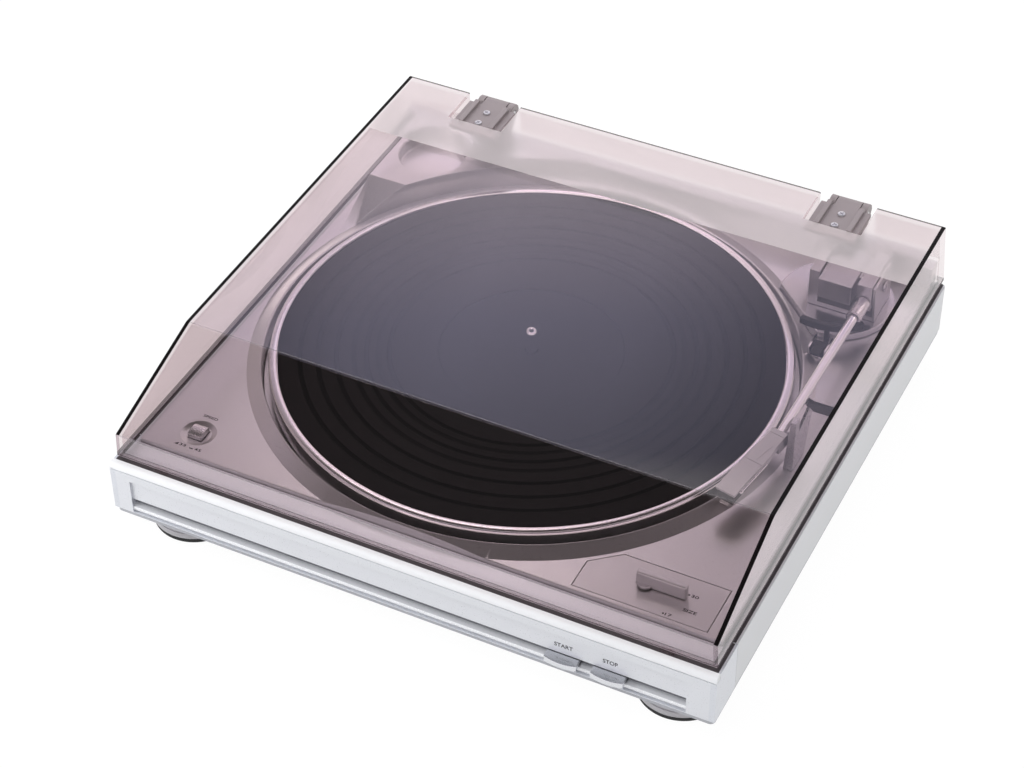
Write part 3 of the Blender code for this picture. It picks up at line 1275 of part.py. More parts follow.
def make_arm_base():
    """Fixed disc of the tonearm, cut off square to the platter, with its bearing."""
    base = prism(arm_base_outline(0.0), ARM_BASE_Z, ARM_TOP_Z)
    slant = prism([(ARM_CHORD - ARM_CHORD_SLANT, ARM_TOP_Z + BITE), (ARM_CHORD + OVERRUN, ARM_TOP_Z + BITE),
                   (ARM_CHORD + OVERRUN, ARM_BASE_Z), (ARM_CHORD, ARM_BASE_Z)],
                  -ARM_BASE_RADIUS, ARM_BASE_RADIUS, along="y")
    move(slant, Matrix.Translation((ARM_X, ARM_Y, 0.0)) @ Matrix.Rotation(ARM_CHORD_ANGLE, 4, "Z"))
    cut(base, slant)
    join(base, disc((ARM_X, ARM_Y), ARM_BOSS_RADIUS, ARM_BASE_Z - ARM_BOSS_DEPTH,
                    ARM_BASE_Z + BITE, MID_FACETS))
    cut(base, disc((ARM_X, ARM_Y), ARM_SHAFT_RADIUS + GAP, ARM_BASE_Z - ARM_BOSS_DEPTH - OVERRUN,
                   ARM_TOP_Z + OVERRUN, SMALL_FACETS))
    return finish(base, "arm_base", grey_plastic())


def arm_origin():
    return ARM_X, ARM_Y, YOKE_Z


def make_arm_shaft():
    """Upright shaft that the whole arm turns on."""
    shaft = disc((ARM_X, ARM_Y), ARM_SHAFT_RADIUS, YOKE_Z - GAP - ARM_SHAFT_LENGTH, YOKE_Z - GAP, SMALL_FACETS)
    return finish(shaft, "arm_shaft", steel(), arm_origin())


def make_return_lever():
    """Lever on the foot of the arm's shaft, over the main lever's end."""
    low = YOKE_Z - GAP - ARM_SHAFT_LENGTH
    high = low + LEVER_THICKNESS
    lever = disc((0.0, 0.0), ARM_SHAFT_RADIUS + RETURN_HUB, low, high + LEVER_THICKNESS, SMALL_FACETS)
    join(lever, prism(rounded((0.0, RETURN_LEVER_REACH), (-LEVER_WIDTH / 3, LEVER_WIDTH / 3),
                              LEVER_WIDTH / 4), low, high))
    cut(lever, disc((0.0, 0.0), ARM_SHAFT_RADIUS + GAP, low - OVERRUN, high + 2 * OVERRUN, SMALL_FACETS))
    move(lever, Matrix.Translation((ARM_X, ARM_Y, 0.0)) @ Matrix.Rotation(RETURN_LEVER_ANGLE, 4, "Z"))
    return finish(lever, "return_lever", steel(), arm_origin())


def yoke_left_x():
    return ARM_X - YOKE_LEFT


def housing_left_x():
    return yoke_left_x() + YOKE_CHEEK + HOUSING_GAP


def block_left_x():
    return housing_left_x() + BOX_WIDTH + SLIT_WIDTH


def housing_right_x():
    return block_left_x() + BLOCK_WIDTH


def side_plate_x():
    return housing_right_x() + GAP


def make_arm_yoke():
    """Turning fork of the arm: base plate, stepped left cheek, thin right plate."""
    left = yoke_left_x()
    plate_left = side_plate_x()
    right = plate_left + YOKE_SIDE_PLATE
    front = ARM_Y - YOKE_FRONT
    back = ARM_Y + YOKE_BACK
    plate_top = YOKE_Z + YOKE_PLATE
    yoke = slab((left, right), (front, back), (YOKE_Z, plate_top))
    cheek = [(front, YOKE_Z), (back, YOKE_Z), (back, YOKE_Z + YOKE_STEP_RISE),
             (back - YOKE_STEP, YOKE_Z + YOKE_LEFT_RISE), (front, YOKE_Z + YOKE_LEFT_RISE)]
    join(yoke, prism(cheek, left, left + YOKE_CHEEK, along="x"))
    top = YOKE_Z + YOKE_SIDE_RISE
    side = [(front, YOKE_Z), (back, YOKE_Z), (back, top - YOKE_STEP), (back - YOKE_STEP, top),
            (front - YOKE_SIDE_LEAN, top)]
    join(yoke, prism(side, plate_left, right, along="x"))
    cut(yoke, rod((left - OVERRUN, ARM_Y, PIVOT_Z), (right + OVERRUN, ARM_Y, PIVOT_Z),
                  PIVOT_SCREW_RADIUS + GAP, SMALL_FACETS))
    return finish(yoke, "arm_yoke", grey_plastic(), arm_origin())


def make_pivot_screw(name, outer_x, inner_x):
    """Headed screw whose cone tip carries the arm at its pitch axis."""
    inward = 1 if inner_x > outer_x else -1
    head_x = outer_x - inward * GAP
    screw = rod((head_x - inward * PIVOT_HEAD_HEIGHT, ARM_Y, PIVOT_Z), (head_x, ARM_Y, PIVOT_Z),
                PIVOT_HEAD_RADIUS, SMALL_FACETS)
    join(screw, rod((head_x - inward * PIVOT_HEAD_HEIGHT / 2, ARM_Y, PIVOT_Z), (inner_x, ARM_Y, PIVOT_Z),
                    PIVOT_SCREW_RADIUS, SMALL_FACETS))
    join(screw, rod((inner_x - inward * GAP, ARM_Y, PIVOT_Z), (inner_x + inward * PIVOT_TIP, ARM_Y, PIVOT_Z),
                    PIVOT_SCREW_RADIUS, SMALL_FACETS, PIVOT_SCREW_RADIUS / 3))
    return finish(screw, name, steel(), arm_origin())


def pitch_origin():
    return ARM_X, ARM_Y, PIVOT_Z


def tube_point(y):
    """A point on the tube's centre line, which slopes and toes in slightly."""
    mouth_y = ARM_Y - HOUSING_FRONT
    share = (mouth_y - y) / TUBE_LENGTH
    middle = (block_left_x() + housing_right_x()) / 2
    return middle - share * TUBE_TOE_IN, y, PIVOT_Z - TUBE_SINK - share * TUBE_SLOPE


def tube_bar(near_y, far_y, radius, facets):
    return rod(tube_point(near_y), tube_point(far_y), radius, facets)


def tube_front_y():
    return ARM_Y - HOUSING_FRONT - TUBE_LENGTH


def make_arm_housing():
    """Moulded body of the arm: tall block round the tube, low box to its left."""
    left = housing_left_x()
    box_right = left + BOX_WIDTH
    block_left = block_left_x()
    right = housing_right_x()
    front = ARM_Y - HOUSING_FRONT
    back = ARM_Y + HOUSING_BACK
    low = PIVOT_Z - HOUSING_DROP
    housing = slab((block_left, right), (front, back), (low, PIVOT_Z + BLOCK_RISE))
    soften(housing, HOUSING_BEVEL)
    box = slab((left, box_right), (front, back), (low, PIVOT_Z + BOX_RISE))
    soften(box, HOUSING_BEVEL)
    join(housing, box)
    join(housing, slab((box_right - BITE, block_left + BITE), (front + SLIT_DEPTH, back - BITE),
                       (low + BITE, PIVOT_Z + BOX_RISE - BITE)))
    seat = tube_point(front + TUBE_SEAT)
    cut(housing, rod(tube_point(front - OVERRUN), seat, TUBE_RADIUS + GAP, SMALL_FACETS))
    reach = PIVOT_TIP + HOUSING_GAP
    cut(housing, rod((left - OVERRUN, ARM_Y, PIVOT_Z), (left + reach, ARM_Y, PIVOT_Z),
                     PIVOT_SCREW_RADIUS + GAP, SMALL_FACETS))
    cut(housing, rod((right + OVERRUN, ARM_Y, PIVOT_Z), (right - reach, ARM_Y, PIVOT_Z),
                     PIVOT_SCREW_RADIUS + GAP, SMALL_FACETS))
    return finish(housing, "arm_housing", grey_plastic(), pitch_origin())


def make_counterweight():
    """Metal block on the back of the housing."""
    back = ARM_Y + HOUSING_BACK + GAP
    weight = slab((housing_left_x() + WEIGHT_INSET, housing_right_x() - WEIGHT_INSET),
                  (back, back + WEIGHT_LENGTH), (PIVOT_Z - WEIGHT_DROP, PIVOT_Z + WEIGHT_RISE))
    soften(weight, WEIGHT_BEVEL, 2)
    return finish(weight, "counterweight", steel(), pitch_origin())


def make_arm_tube():
    """Straight chromed tube, seated in the housing and in the head shell."""
    front = ARM_Y - HOUSING_FRONT
    near = front + TUBE_SEAT - GAP
    tube = tube_bar(near, tube_front_y(), TUBE_RADIUS, SMALL_FACETS)
    cut(tube, tube_bar(near + OVERRUN, tube_front_y() - OVERRUN, TUBE_RADIUS - TUBE_WALL, SMALL_FACETS))
    return finish(tube, "arm_tube", chrome(), pitch_origin())


def make_tube_sleeve():
    """Satin hood over the tube where it leaves the housing, open below."""
    near = ARM_Y - HOUSING_FRONT - GAP
    far = near - SLEEVE_LENGTH
    sleeve = tube_bar(near, far, SLEEVE_RADIUS, SMALL_FACETS)
    cut(sleeve, tube_bar(near + OVERRUN, far - OVERRUN, TUBE_RADIUS + GAP, SMALL_FACETS))
    x, y, z = tube_point(near)
    cut(sleeve, slab((x - 2 * SLEEVE_RADIUS, x + 2 * SLEEVE_RADIUS), (far - OVERRUN, near + OVERRUN),
                     (z - 2 * SLEEVE_RADIUS, z - SLEEVE_SKIRT)))
    return finish(sleeve, "tube_sleeve", chrome(), pitch_origin())


def head_matrix():
    """Frame of the head shell: it turns in and slopes down from the tube's end."""
    place = Matrix.Translation(tube_point(tube_front_y()))
    turn = Matrix.Rotation(-HEAD_ANGLE, 4, "Z")
    return place @ turn @ Matrix.Rotation(HEAD_SLOPE, 4, "X")


def head_under_z():
    return TUBE_RADIUS + HEAD_RISE - HEAD_PLATE


def head_cheek_back():
    return HEAD_REAR - HEAD_BLOCK - CARTRIDGE_LENGTH / 2


def make_head_shell():
    """Head shell: a block clamped on the tube and a plate with turned-down edges."""
    half = HEAD_WIDTH / 2
    top = TUBE_RADIUS + HEAD_RISE
    under = head_under_z()
    hem = under - HEAD_FLANGE
    block_front = HEAD_REAR - HEAD_BLOCK
    side = [(-HEAD_LENGTH, under), (head_cheek_back(), under), (head_cheek_back(), hem),
            (block_front, hem), (block_front, -HEAD_BLOCK_DROP), (HEAD_REAR, -HEAD_BLOCK_DROP),
            (HEAD_REAR, top), (-HEAD_LENGTH, top)]
    shell = prism(side, -half, half, along="x")
    cut(shell, slab((HEAD_PLATE - half, half - HEAD_PLATE), (-HEAD_LENGTH - OVERRUN, block_front),
                    (hem - OVERRUN, under)))
    for near, far in ((-half - OVERRUN, -HEAD_NECK / 2), (HEAD_NECK / 2, half + OVERRUN)):
        cut(shell, slab((near, far), (block_front - BITE, HEAD_REAR + OVERRUN),
                        (-HEAD_BLOCK_DROP - OVERRUN, top + OVERRUN)))
    move(shell, head_matrix())
    cut(shell, tube_bar(tube_front_y() + HEAD_BLOCK + OVERRUN, tube_front_y() - GAP,
                        TUBE_RADIUS + GAP, SMALL_FACETS))
    return finish(shell, "head_shell", grey_plastic(), pitch_origin())


def make_cartridge():
    """Cartridge body under the shell's front, deeper at its chin."""
    top = head_under_z() - GAP
    low = top - CARTRIDGE_HEIGHT
    front = -HEAD_LENGTH
    back = front + CARTRIDGE_LENGTH
    side = [(front, top), (front, low), (front + STYLUS_LENGTH, low), (back, low + CARTRIDGE_CHIN), (back, top)]
    body = prism(side, -CARTRIDGE_WIDTH / 2, CARTRIDGE_WIDTH / 2, along="x")
    half = HEAD_WIDTH / 2 - HEAD_PLATE - GAP
    for side_sign in (-1, 1):
        near = side_sign * half
        far = side_sign * (HEAD_WIDTH / 2 + OVERRUN)
        cut(body, slab((min(near, far), max(near, far)), (head_cheek_back() - GAP, HEAD_REAR),
                       (top - HEAD_FLANGE - GAP, top + OVERRUN)))
    move(body, head_matrix())
    return finish(body, "cartridge", dark_plastic(), pitch_origin())


def make_stylus():
    """Replaceable stylus carrier, with its tip below the cartridge's front."""
    top = head_under_z() - GAP - CARTRIDGE_HEIGHT - GAP
    front = -HEAD_LENGTH - STYLUS_OVERHANG
    side = [(front, top), (front + STYLUS_HEIGHT / 2, top - STYLUS_HEIGHT),
            (front + STYLUS_LENGTH, top - STYLUS_HEIGHT / 2), (front + STYLUS_LENGTH, top)]
    carrier = prism(side, -STYLUS_WIDTH / 2, STYLUS_WIDTH / 2, along="x")
    move(carrier, head_matrix())
    return finish(carrier, "stylus", white_plastic(), pitch_origin())


def make_finger_lift():
    """Thin finger rod with a ball end, beside the head shell."""
    x = HEAD_WIDTH / 2 + GAP + FINGER_RADIUS
    z = TUBE_RADIUS + HEAD_RISE - HEAD_PLATE / 2
    tip = -FINGER_START - FINGER_LENGTH
    lift = rod((x, -FINGER_START, z), (x, tip, z), FINGER_RADIUS, SMALL_FACETS // 2)
    join(lift, ball((x, tip, z), FINGER_BALL, SMALL_FACETS // 2))
    cut(lift, slab((x - OVERRUN, HEAD_WIDTH / 2 + GAP), (tip - OVERRUN, -FINGER_START + OVERRUN),
                   (z - OVERRUN, z + OVERRUN)))
    move(lift, head_matrix())
    return finish(lift, "finger_lift", chrome(), pitch_origin())


def make_arm_rest():
    """Rest: a tapered post, a web behind it, and the shelf that the tube lies on."""
    (left, right), (front, back) = rest_foot_ranges()
    low = DECK_Z + GAP
    top = low + REST_RISE
    rest = prism([(left, low), (right, low), (right, top), (right - REST_TOP_WIDTH, top)],
                 front, back, along="y")
    shelf_front = back
    shelf_back = shelf_front + REST_SHELF_DEPTH
    tube_under = tube_point(shelf_front)[2] - TUBE_RADIUS
    shelf_top = tube_under - GAP
    web = [(back - REST_DEPTH / 2, low), (back + REST_WEB_LOW, low),
           (back + REST_WEB_DEPTH, top - REST_WEB_LOW),
           (back + REST_WEB_DEPTH - REST_WEB_HIGH, top - REST_WEB_HIGH),
           (back - REST_DEPTH / 2, top - REST_WEB_LOW)]
    join(rest, prism(web, right - REST_WEB, right, along="x"))
    shelf_left = right - REST_WIDTH - REST_SHELF_REACH
    join(rest, slab((shelf_left, right - REST_WEB / 2), (shelf_front, shelf_back),
                    (shelf_top - REST_SHELF, shelf_top)))
    join(rest, disc(rest_peg_place(), REST_PEG, low - REST_PEG_DEPTH, low + BITE, SMALL_FACETS))
    return finish(rest, "arm_rest", grey_plastic())


def lift_top_z():
    return tube_point(ARM_Y - LIFT_RADIUS)[2] - TUBE_RADIUS - LIFT_CLEARANCE


def make_lift_bar():
    """Curved bar concentric with the arm's shaft, on a stem through the deck."""
    centre = (ARM_X, ARM_Y)
    outline = arc(centre, LIFT_RADIUS + LIFT_WIDTH / 2, LIFT_START, LIFT_END, 2 * ARC_FACETS)
    outline += arc(centre, LIFT_RADIUS - LIFT_WIDTH / 2, LIFT_END, LIFT_START, 2 * ARC_FACETS)
    top = lift_top_z()
    bar = prism(outline, top - LIFT_HEIGHT, top)
    join(bar, disc(lift_stem_place(), LIFT_STEM_RADIUS, DECK_Z - LIFT_STEM_DEPTH + LIFT_HEIGHT,
                   top - BITE, SMALL_FACETS))
    return finish(bar, "lift_bar", dark_plastic(), (*lift_stem_place(), top))


def cradle_ranges():
    left = ARM_X - CRADLE_LEFT
    back = ARM_Y - CRADLE_BACK
    return (left, left + CRADLE_WIDTH), (back - CRADLE_LENGTH, back)


def cue_axis():
    (left, right), (front, back) = cradle_ranges()
    return (left + right) / 2, back - CUE_PIN_BACK, DECK_Z + GAP + CUE_PIN_RISE


def make_lift_cradle():
    """Bent bracket on the deck, whose two ears carry the cueing lever."""
    (left, right), (front, back) = cradle_ranges()
    low = DECK_Z + GAP
    cradle = slab((left, right), (front, back), (low, low + CRADLE_RISE))
    cut(cradle, slab((left + CRADLE_WALL, right - CRADLE_WALL), (front - OVERRUN, back + OVERRUN),
                     (low + CRADLE_WALL, low + CRADLE_RISE + OVERRUN)))
    x, y, z = cue_axis()
    cut(cradle, rod((left - OVERRUN, y, z), (right + OVERRUN, y, z), CUE_PIN_RADIUS + GAP, SMALL_FACETS))
    return finish(cradle, "lift_cradle", chrome())


def make_cue_lever():
    """Cueing lever: a hub on its pin, and the tab that a finger pushes."""
    (left, right), (front, back) = cradle_ranges()
    x, y, z = cue_axis()
    lever = rod((left, y, z), (right, y, z), CUE_PIN_RADIUS, SMALL_FACETS)
    inside = CRADLE_WALL + SLIDE_GAP
    join(lever, rod((left + inside, y, z), (right - inside, y, z), CUE_HUB_RADIUS, SMALL_FACETS))
    join(lever, slab((x - CUE_TAB_WIDTH / 2, x + CUE_TAB_WIDTH / 2), (y - CUE_REACH, y),
                     (z - CUE_TAB_HEIGHT / 2, z + CUE_TAB_HEIGHT / 2)))
    return finish(lever, "cue_lever", dark_plastic(), (x, y, z))


def cover_outline(inset):
    """Side view of the cover, moved inwards by a wall for its inside."""
    front = COVER_FRONT_Y
    corners = [(front, COVER_Z), (front, COVER_Z + COVER_FRONT_HEIGHT),
               (front + COVER_SLOPE_LENGTH, COVER_TOP_Z), (COVER_BACK_Y - COVER_DRAFT, COVER_TOP_Z),
               (COVER_BACK_Y, COVER_Z)]
    if not inset:
        return corners
    lines = []
    for start, end in zip(corners, corners[1:]):
        along = (Vector(end) - Vector(start)).normalized()
        inward = Vector((along.y, -along.x)) * inset
        lines.append((Vector(start) + inward, along))
    points = []
    for (first, along), (second, across) in zip(lines, lines[1:]):
        reach = (second - first).cross(across) / along.cross(across)
        points.append(tuple(first + along * reach))
    low = COVER_Z - OVERRUN
    foot = (lines[0][0].x, low)
    last, along = lines[-1]
    heel = last + along * ((low - last.y) / along.y)
    return [foot] + points + [(heel.x, heel.y)]


def cover_shell(inset):
    """Tapered solid: each point of the side view is as wide as its height allows."""
    half = HALF_WIDTH - COVER_SIDE_INSET - inset
    lean = COVER_DRAFT / COVER_HEIGHT
    maker = bmesh.new()
    rows = []
    for side in (-1, 1):
        rows.append([maker.verts.new((side * (half - lean * (z - COVER_Z)), y, z))
                     for y, z in cover_outline(inset)])
    count = len(rows[0])
    maker.faces.new(rows[0])
    maker.faces.new(list(reversed(rows[1])))
    for place in range(count):
        after = (place + 1) % count
        maker.faces.new((rows[0][place], rows[1][place], rows[1][after], rows[0][after]))
    return solid_from(maker)


def make_dust_cover():
    """Moulded clear cover with a sloped front and a notch for each hinge."""
    cover = cover_shell(0.0)
    cut(cover, cover_shell(COVER_WALL))
    inner = DECK_HALF + GAP
    cut(cover, slab((-inner, inner), (LEDGE_Y, COVER_BACK_Y + OVERRUN),
                    (COVER_Z - OVERRUN, PLATEAU_Z + COVER_REAR_GAP)))
    top_back = COVER_BACK_Y - COVER_DRAFT
    for side in (-1, 1):
        middle = side * NOTCH_X
        cut(cover, slab((middle - NOTCH_WIDTH / 2, middle + NOTCH_WIDTH / 2),
                        (top_back - NOTCH_DEPTH, COVER_BACK_Y + OVERRUN),
                        (PLATEAU_Z, COVER_TOP_Z + OVERRUN)))
    return finish(cover, "dust_cover", clear_plastic(), hinge_origin())


def hinge_origin():
    return 0.0, HINGE_Y, HINGE_Z


def make_cover_bumper(name, side):
    """Soft stop on the fascia's ledge, under the cover's front wall."""
    middle = side * BUMPER_X
    bumper = slab((middle - BUMPER_LENGTH / 2, middle + BUMPER_LENGTH / 2),
                  (COVER_FRONT_Y, COVER_FRONT_Y + COVER_WALL), (RIM_Z + GAP, COVER_Z - GAP))
    return finish(bumper, name, rubber())


def hinge_rod(middle, half, radius):
    return rod((middle - half, HINGE_Y, HINGE_Z), (middle + half, HINGE_Y, HINGE_Z), radius, SMALL_FACETS)


def make_hinge_leaf(name, side):
    """Cover half of a hinge: flange under the cover, ribbed plate, one knuckle."""
    middle = side * NOTCH_X
    top_back = COVER_BACK_Y - COVER_DRAFT
    notch_front = top_back - NOTCH_DEPTH
    flange_top = COVER_TOP_Z - COVER_WALL - GAP
    plate_low = flange_top - LEAF_PLATE
    half = LEAF_WIDTH / 2
    knuckle_half = LEAF_KNUCKLE_WIDTH / 2
    plate_back = HINGE_Y - KNUCKLE_RADIUS - SLIDE_GAP
    leaf = slab((middle - half, middle + half), (notch_front - LEAF_FLANGE, plate_back),
                (plate_low, flange_top))
    for rib_side in (-1, 1):
        outer = middle + rib_side * (half - LEAF_RIB_INSET)
        inner = outer - rib_side * LEAF_RIB
        join(leaf, slab((min(inner, outer), max(inner, outer)), (notch_front + SLIDE_GAP, plate_back),
                        (flange_top - BITE, flange_top + LEAF_RIB_HEIGHT)))
    join(leaf, slab((middle - knuckle_half, middle + knuckle_half), (plate_back - BITE, HINGE_Y),
                    (plate_low, flange_top)))
    join(leaf, hinge_rod(middle, knuckle_half, KNUCKLE_RADIUS))
    cut(leaf, hinge_rod(middle, half, HINGE_PIN_RADIUS + GAP))
    return finish(leaf, name, grey_plastic(), hinge_origin())


def make_hinge_bracket(name, side):
    """Fixed half of a hinge: a foot on the rear ledge and two cheeks."""
    middle = side * NOTCH_X
    inner = LEAF_KNUCKLE_WIDTH / 2 + SLIDE_GAP
    outer = inner + CHEEK_WIDTH
    low = PLATEAU_Z + GAP
    front = LEDGE_Y + GAP
    back = front + BRACKET_DEPTH
    bracket = slab((middle - outer, middle + outer), (front, back), (low, low + BRACKET_BLOCK - BITE))
    cheek = [(front, low), (back, low), (HINGE_Y + KNUCKLE_RADIUS, HINGE_Z)]
    cheek += arc((HINGE_Y, HINGE_Z), KNUCKLE_RADIUS, 0.0, math.pi, ARC_FACETS)[1:]
    for cheek_side in (-1, 1):
        near = middle + cheek_side * inner
        far = middle + cheek_side * outer
        join(bracket, prism(cheek, min(near, far), max(near, far), along="x"))
    cut(bracket, hinge_rod(middle, LEAF_WIDTH, HINGE_PIN_RADIUS + GAP))
    return finish(bracket, name, grey_plastic())


def make_hinge_pin(name, side):
    half = LEAF_KNUCKLE_WIDTH / 2 + SLIDE_GAP + CHEEK_WIDTH
    return finish(hinge_rod(side * NOTCH_X, half, HINGE_PIN_RADIUS), name, steel())


def build():
    clear_scene()
    make_cabinet()
    make_cord_gland()
    make_front_fascia()
    make_fascia_top_strip()
    make_bottom_cover()
    for place_name, place in foot_places().items():
        make_foot("foot_" + place_name, place)
        make_foot_pad("foot_pad_" + place_name, place)
    make_top_deck()
    make_size_panel()
    make_size_lever()
    make_speed_button()
    make_key(0, "start_button")
    make_key(1, "stop_button")
    make_platter()
    make_platter_mat()
    make_spindle()
    make_hub_gear()
    make_cam_gear()
    make_sub_chassis()
    make_spindle_bearing()
    make_main_lever()
    make_drive_motor()
    make_motor_pulley()
    make_drive_belt()
    make_circuit_board()
    make_arm_base()
    make_arm_shaft()
    make_return_lever()
    make_arm_yoke()
    make_pivot_screw("pivot_screw_left", yoke_left_x(), housing_left_x())
    make_pivot_screw("pivot_screw_right", side_plate_x() + YOKE_SIDE_PLATE, housing_right_x())
    make_arm_housing()
    make_counterweight()
    make_arm_tube()
    make_tube_sleeve()
    make_head_shell()
    make_cartridge()
    make_stylus()
    make_finger_lift()
    make_arm_rest()
    make_lift_bar()
    make_lift_cradle()
    make_cue_lever()
    make_dust_cover()
    for side_name, side in (("left", -1), ("right", 1)):
        make_cover_bumper("cover_bumper_" + side_name, side)
        make_hinge_leaf("hinge_leaf_" + side_name, side)
        make_hinge_bracket("hinge_bracket_" + side_name, side)
        make_hinge_pin("hinge_pin_" + side_name, side)


build()
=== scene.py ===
"""A silver automatic turntable under its closed, smoke-tinted cover."""

import math

import bmesh
import bpy
from mathutils import Matrix, Vector


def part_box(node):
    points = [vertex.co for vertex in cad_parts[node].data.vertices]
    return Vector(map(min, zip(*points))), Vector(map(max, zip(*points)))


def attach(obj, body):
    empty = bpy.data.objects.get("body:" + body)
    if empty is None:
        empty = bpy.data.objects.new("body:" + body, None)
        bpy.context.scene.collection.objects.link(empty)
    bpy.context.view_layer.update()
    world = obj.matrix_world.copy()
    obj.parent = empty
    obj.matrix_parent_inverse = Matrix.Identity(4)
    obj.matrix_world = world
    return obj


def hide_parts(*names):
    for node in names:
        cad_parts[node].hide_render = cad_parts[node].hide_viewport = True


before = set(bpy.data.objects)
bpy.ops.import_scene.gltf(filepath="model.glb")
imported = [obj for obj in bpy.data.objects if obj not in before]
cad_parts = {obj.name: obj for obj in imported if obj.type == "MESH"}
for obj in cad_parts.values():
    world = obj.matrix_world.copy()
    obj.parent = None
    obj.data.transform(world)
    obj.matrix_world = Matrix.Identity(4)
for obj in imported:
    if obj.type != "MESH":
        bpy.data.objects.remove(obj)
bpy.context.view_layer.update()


# Studio.
# The turntable stands on white paper, lit from the front left, from behind on both sides and from
# above. Its glossy faces mirror a wall of light under a dark ceiling: that wall is the bluish veil in
# the flat top of the cover.
def feed(tree, node, inputs):
    """Give each input its value, or the socket or node that feeds it."""
    for key, value in inputs.items():
        if isinstance(value, bpy.types.Node):
            value = value.outputs[0]
        if isinstance(value, bpy.types.NodeSocket):
            tree.links.new(value, node.inputs[key])
        else:
            node.inputs[key].default_value = value


def add(tree, kind, inputs=(), **settings):
    """A new node with its settings and its inputs."""
    node = tree.nodes.new(kind if "Node" in kind else "ShaderNode" + kind)
    for key, value in settings.items():
        setattr(node, key, value)
    feed(tree, node, dict(inputs))
    return node


def ramp(tree, source, *stops):
    """A colour ramp. Each stop has its place and its colour, or its grey."""
    node = add(tree, "ValToRGB", {0: source})
    elements = node.color_ramp.elements
    elements[0].position, elements[1].position = stops[0][0], stops[-1][0]
    for place, colour in stops[1:-1]:
        elements.new(place)
    for element, (place, colour) in zip(elements, stops):
        element.color = (*colour, 1.0) if isinstance(colour, tuple) else (colour, colour, colour, 1.0)
    return node


def new_material(name):
    material = bpy.data.materials.new(name)
    material.use_nodes = True
    return material, material.node_tree, material.node_tree.nodes["Principled BSDF"]


def show(tree, shader):
    feed(tree, tree.nodes["Material Output"], {"Surface": shader})


def placed(name, data):
    made = bpy.data.objects.new(name, data)
    bpy.context.scene.collection.objects.link(made)
    return made


def make_room_light():
    """Soft light for the matt faces, a wall of light and a dark ceiling in the glossy ones, white beyond."""
    world = bpy.data.worlds.new("room")
    bpy.context.scene.world = world
    world.use_nodes = True
    tree = world.node_tree
    tree.nodes.clear()
    parts = add(tree, "SeparateXYZ", {0: add(tree, "TexCoord").outputs["Generated"]})
    by_height = ramp(tree, parts.outputs["Z"], (0.00, 0.50), (0.30, (0.70, 0.69, 0.70)), (0.585, (0.98, 0.91, 1.00)),
                     (0.625, (0.70, 0.67, 0.84)), (0.645, (0.53, 0.53, 0.71)), (0.685, (0.34, 0.35, 0.46)),
                     (0.701, 1.12), (0.714, 1.06), (0.728, 0.58), (0.739, 0.27), (0.76, 0.15), (0.88, 0.03),
                     (1.00, 0.04))
    left = add(tree, "MapRange", {"Value": parts.outputs["X"], "From Min": 0.0, "From Max": -1.0})
    by_side = ramp(tree, left, (0.00, 0.34), (0.17, 0.36), (0.225, 0.37), (0.245, 0.31), (0.30, 0.52), (0.36, 0.60),
                   (0.40, 0.50), (0.43, 0.30), (0.55, 0.22), (1.00, 0.18))
    wall_light = add(tree, "Mix", data_type="RGBA", blend_type="MULTIPLY")
    feed(tree, wall_light, {0: 1.0, 6: by_height, 7: by_side})
    glossy = add(tree, "Background", {"Color": wall_light.outputs[2], "Strength": 4.0})
    soft = add(tree, "Background", {"Color": (0.92, 0.94, 1.0, 1.0), "Strength": 0.27})
    white = add(tree, "Background", {"Color": (1.0, 1.0, 1.0, 1.0), "Strength": 1.0})
    path = add(tree, "LightPath")
    first = add(tree, "MixShader", {0: path.outputs["Is Glossy Ray"], 1: soft, 2: glossy})
    second = add(tree, "MixShader", {0: path.outputs["Is Camera Ray"], 1: first, 2: white})
    add(tree, "OutputWorld", {"Surface": second})


def make_floor():
    """White paper that glows for the camera, but not on the object."""
    half = 4.0
    mesh = bpy.data.meshes.new("floor")
    mesh.from_pydata([(-half, -half, 0), (half, -half, 0), (half, half, 0), (-half, half, 0)], [], [(0, 1, 2, 3)])
    material, tree, paper = new_material("floor_paper")
    feed(tree, paper, {"Base Color": (0.86, 0.86, 0.87, 1.0), "Roughness": 0.9})
    glow = add(tree, "Emission", {"Color": (1.0, 1.0, 1.0, 1.0), "Strength": 1.03})
    path = add(tree, "LightPath")
    seen = add(tree, "Math", {0: 1.0, 1: path.outputs["Is Diffuse Ray"]}, operation="SUBTRACT", use_clamp=True)
    share = add(tree, "Math", {0: seen, 1: 0.94}, operation="MULTIPLY")
    show(tree, add(tree, "MixShader", {0: share, 1: paper, 2: glow}))
    mesh.materials.append(material)
    placed("floor", mesh)


def make_lamp(name, place, aim, width, depth, power, colour, glossy=False):
    lamp = bpy.data.lights.new(name, "AREA")
    lamp.shape = "RECTANGLE"
    lamp.size, lamp.size_y = width, depth
    lamp.energy, lamp.color = power, colour
    holder = placed(name, lamp)
    holder.location = place
    holder.rotation_mode = "QUATERNION"
    holder.rotation_quaternion = (Vector(aim) - Vector(place)).to_track_quat("-Z", "Y")
    holder.visible_glossy, holder.visible_camera = glossy, False


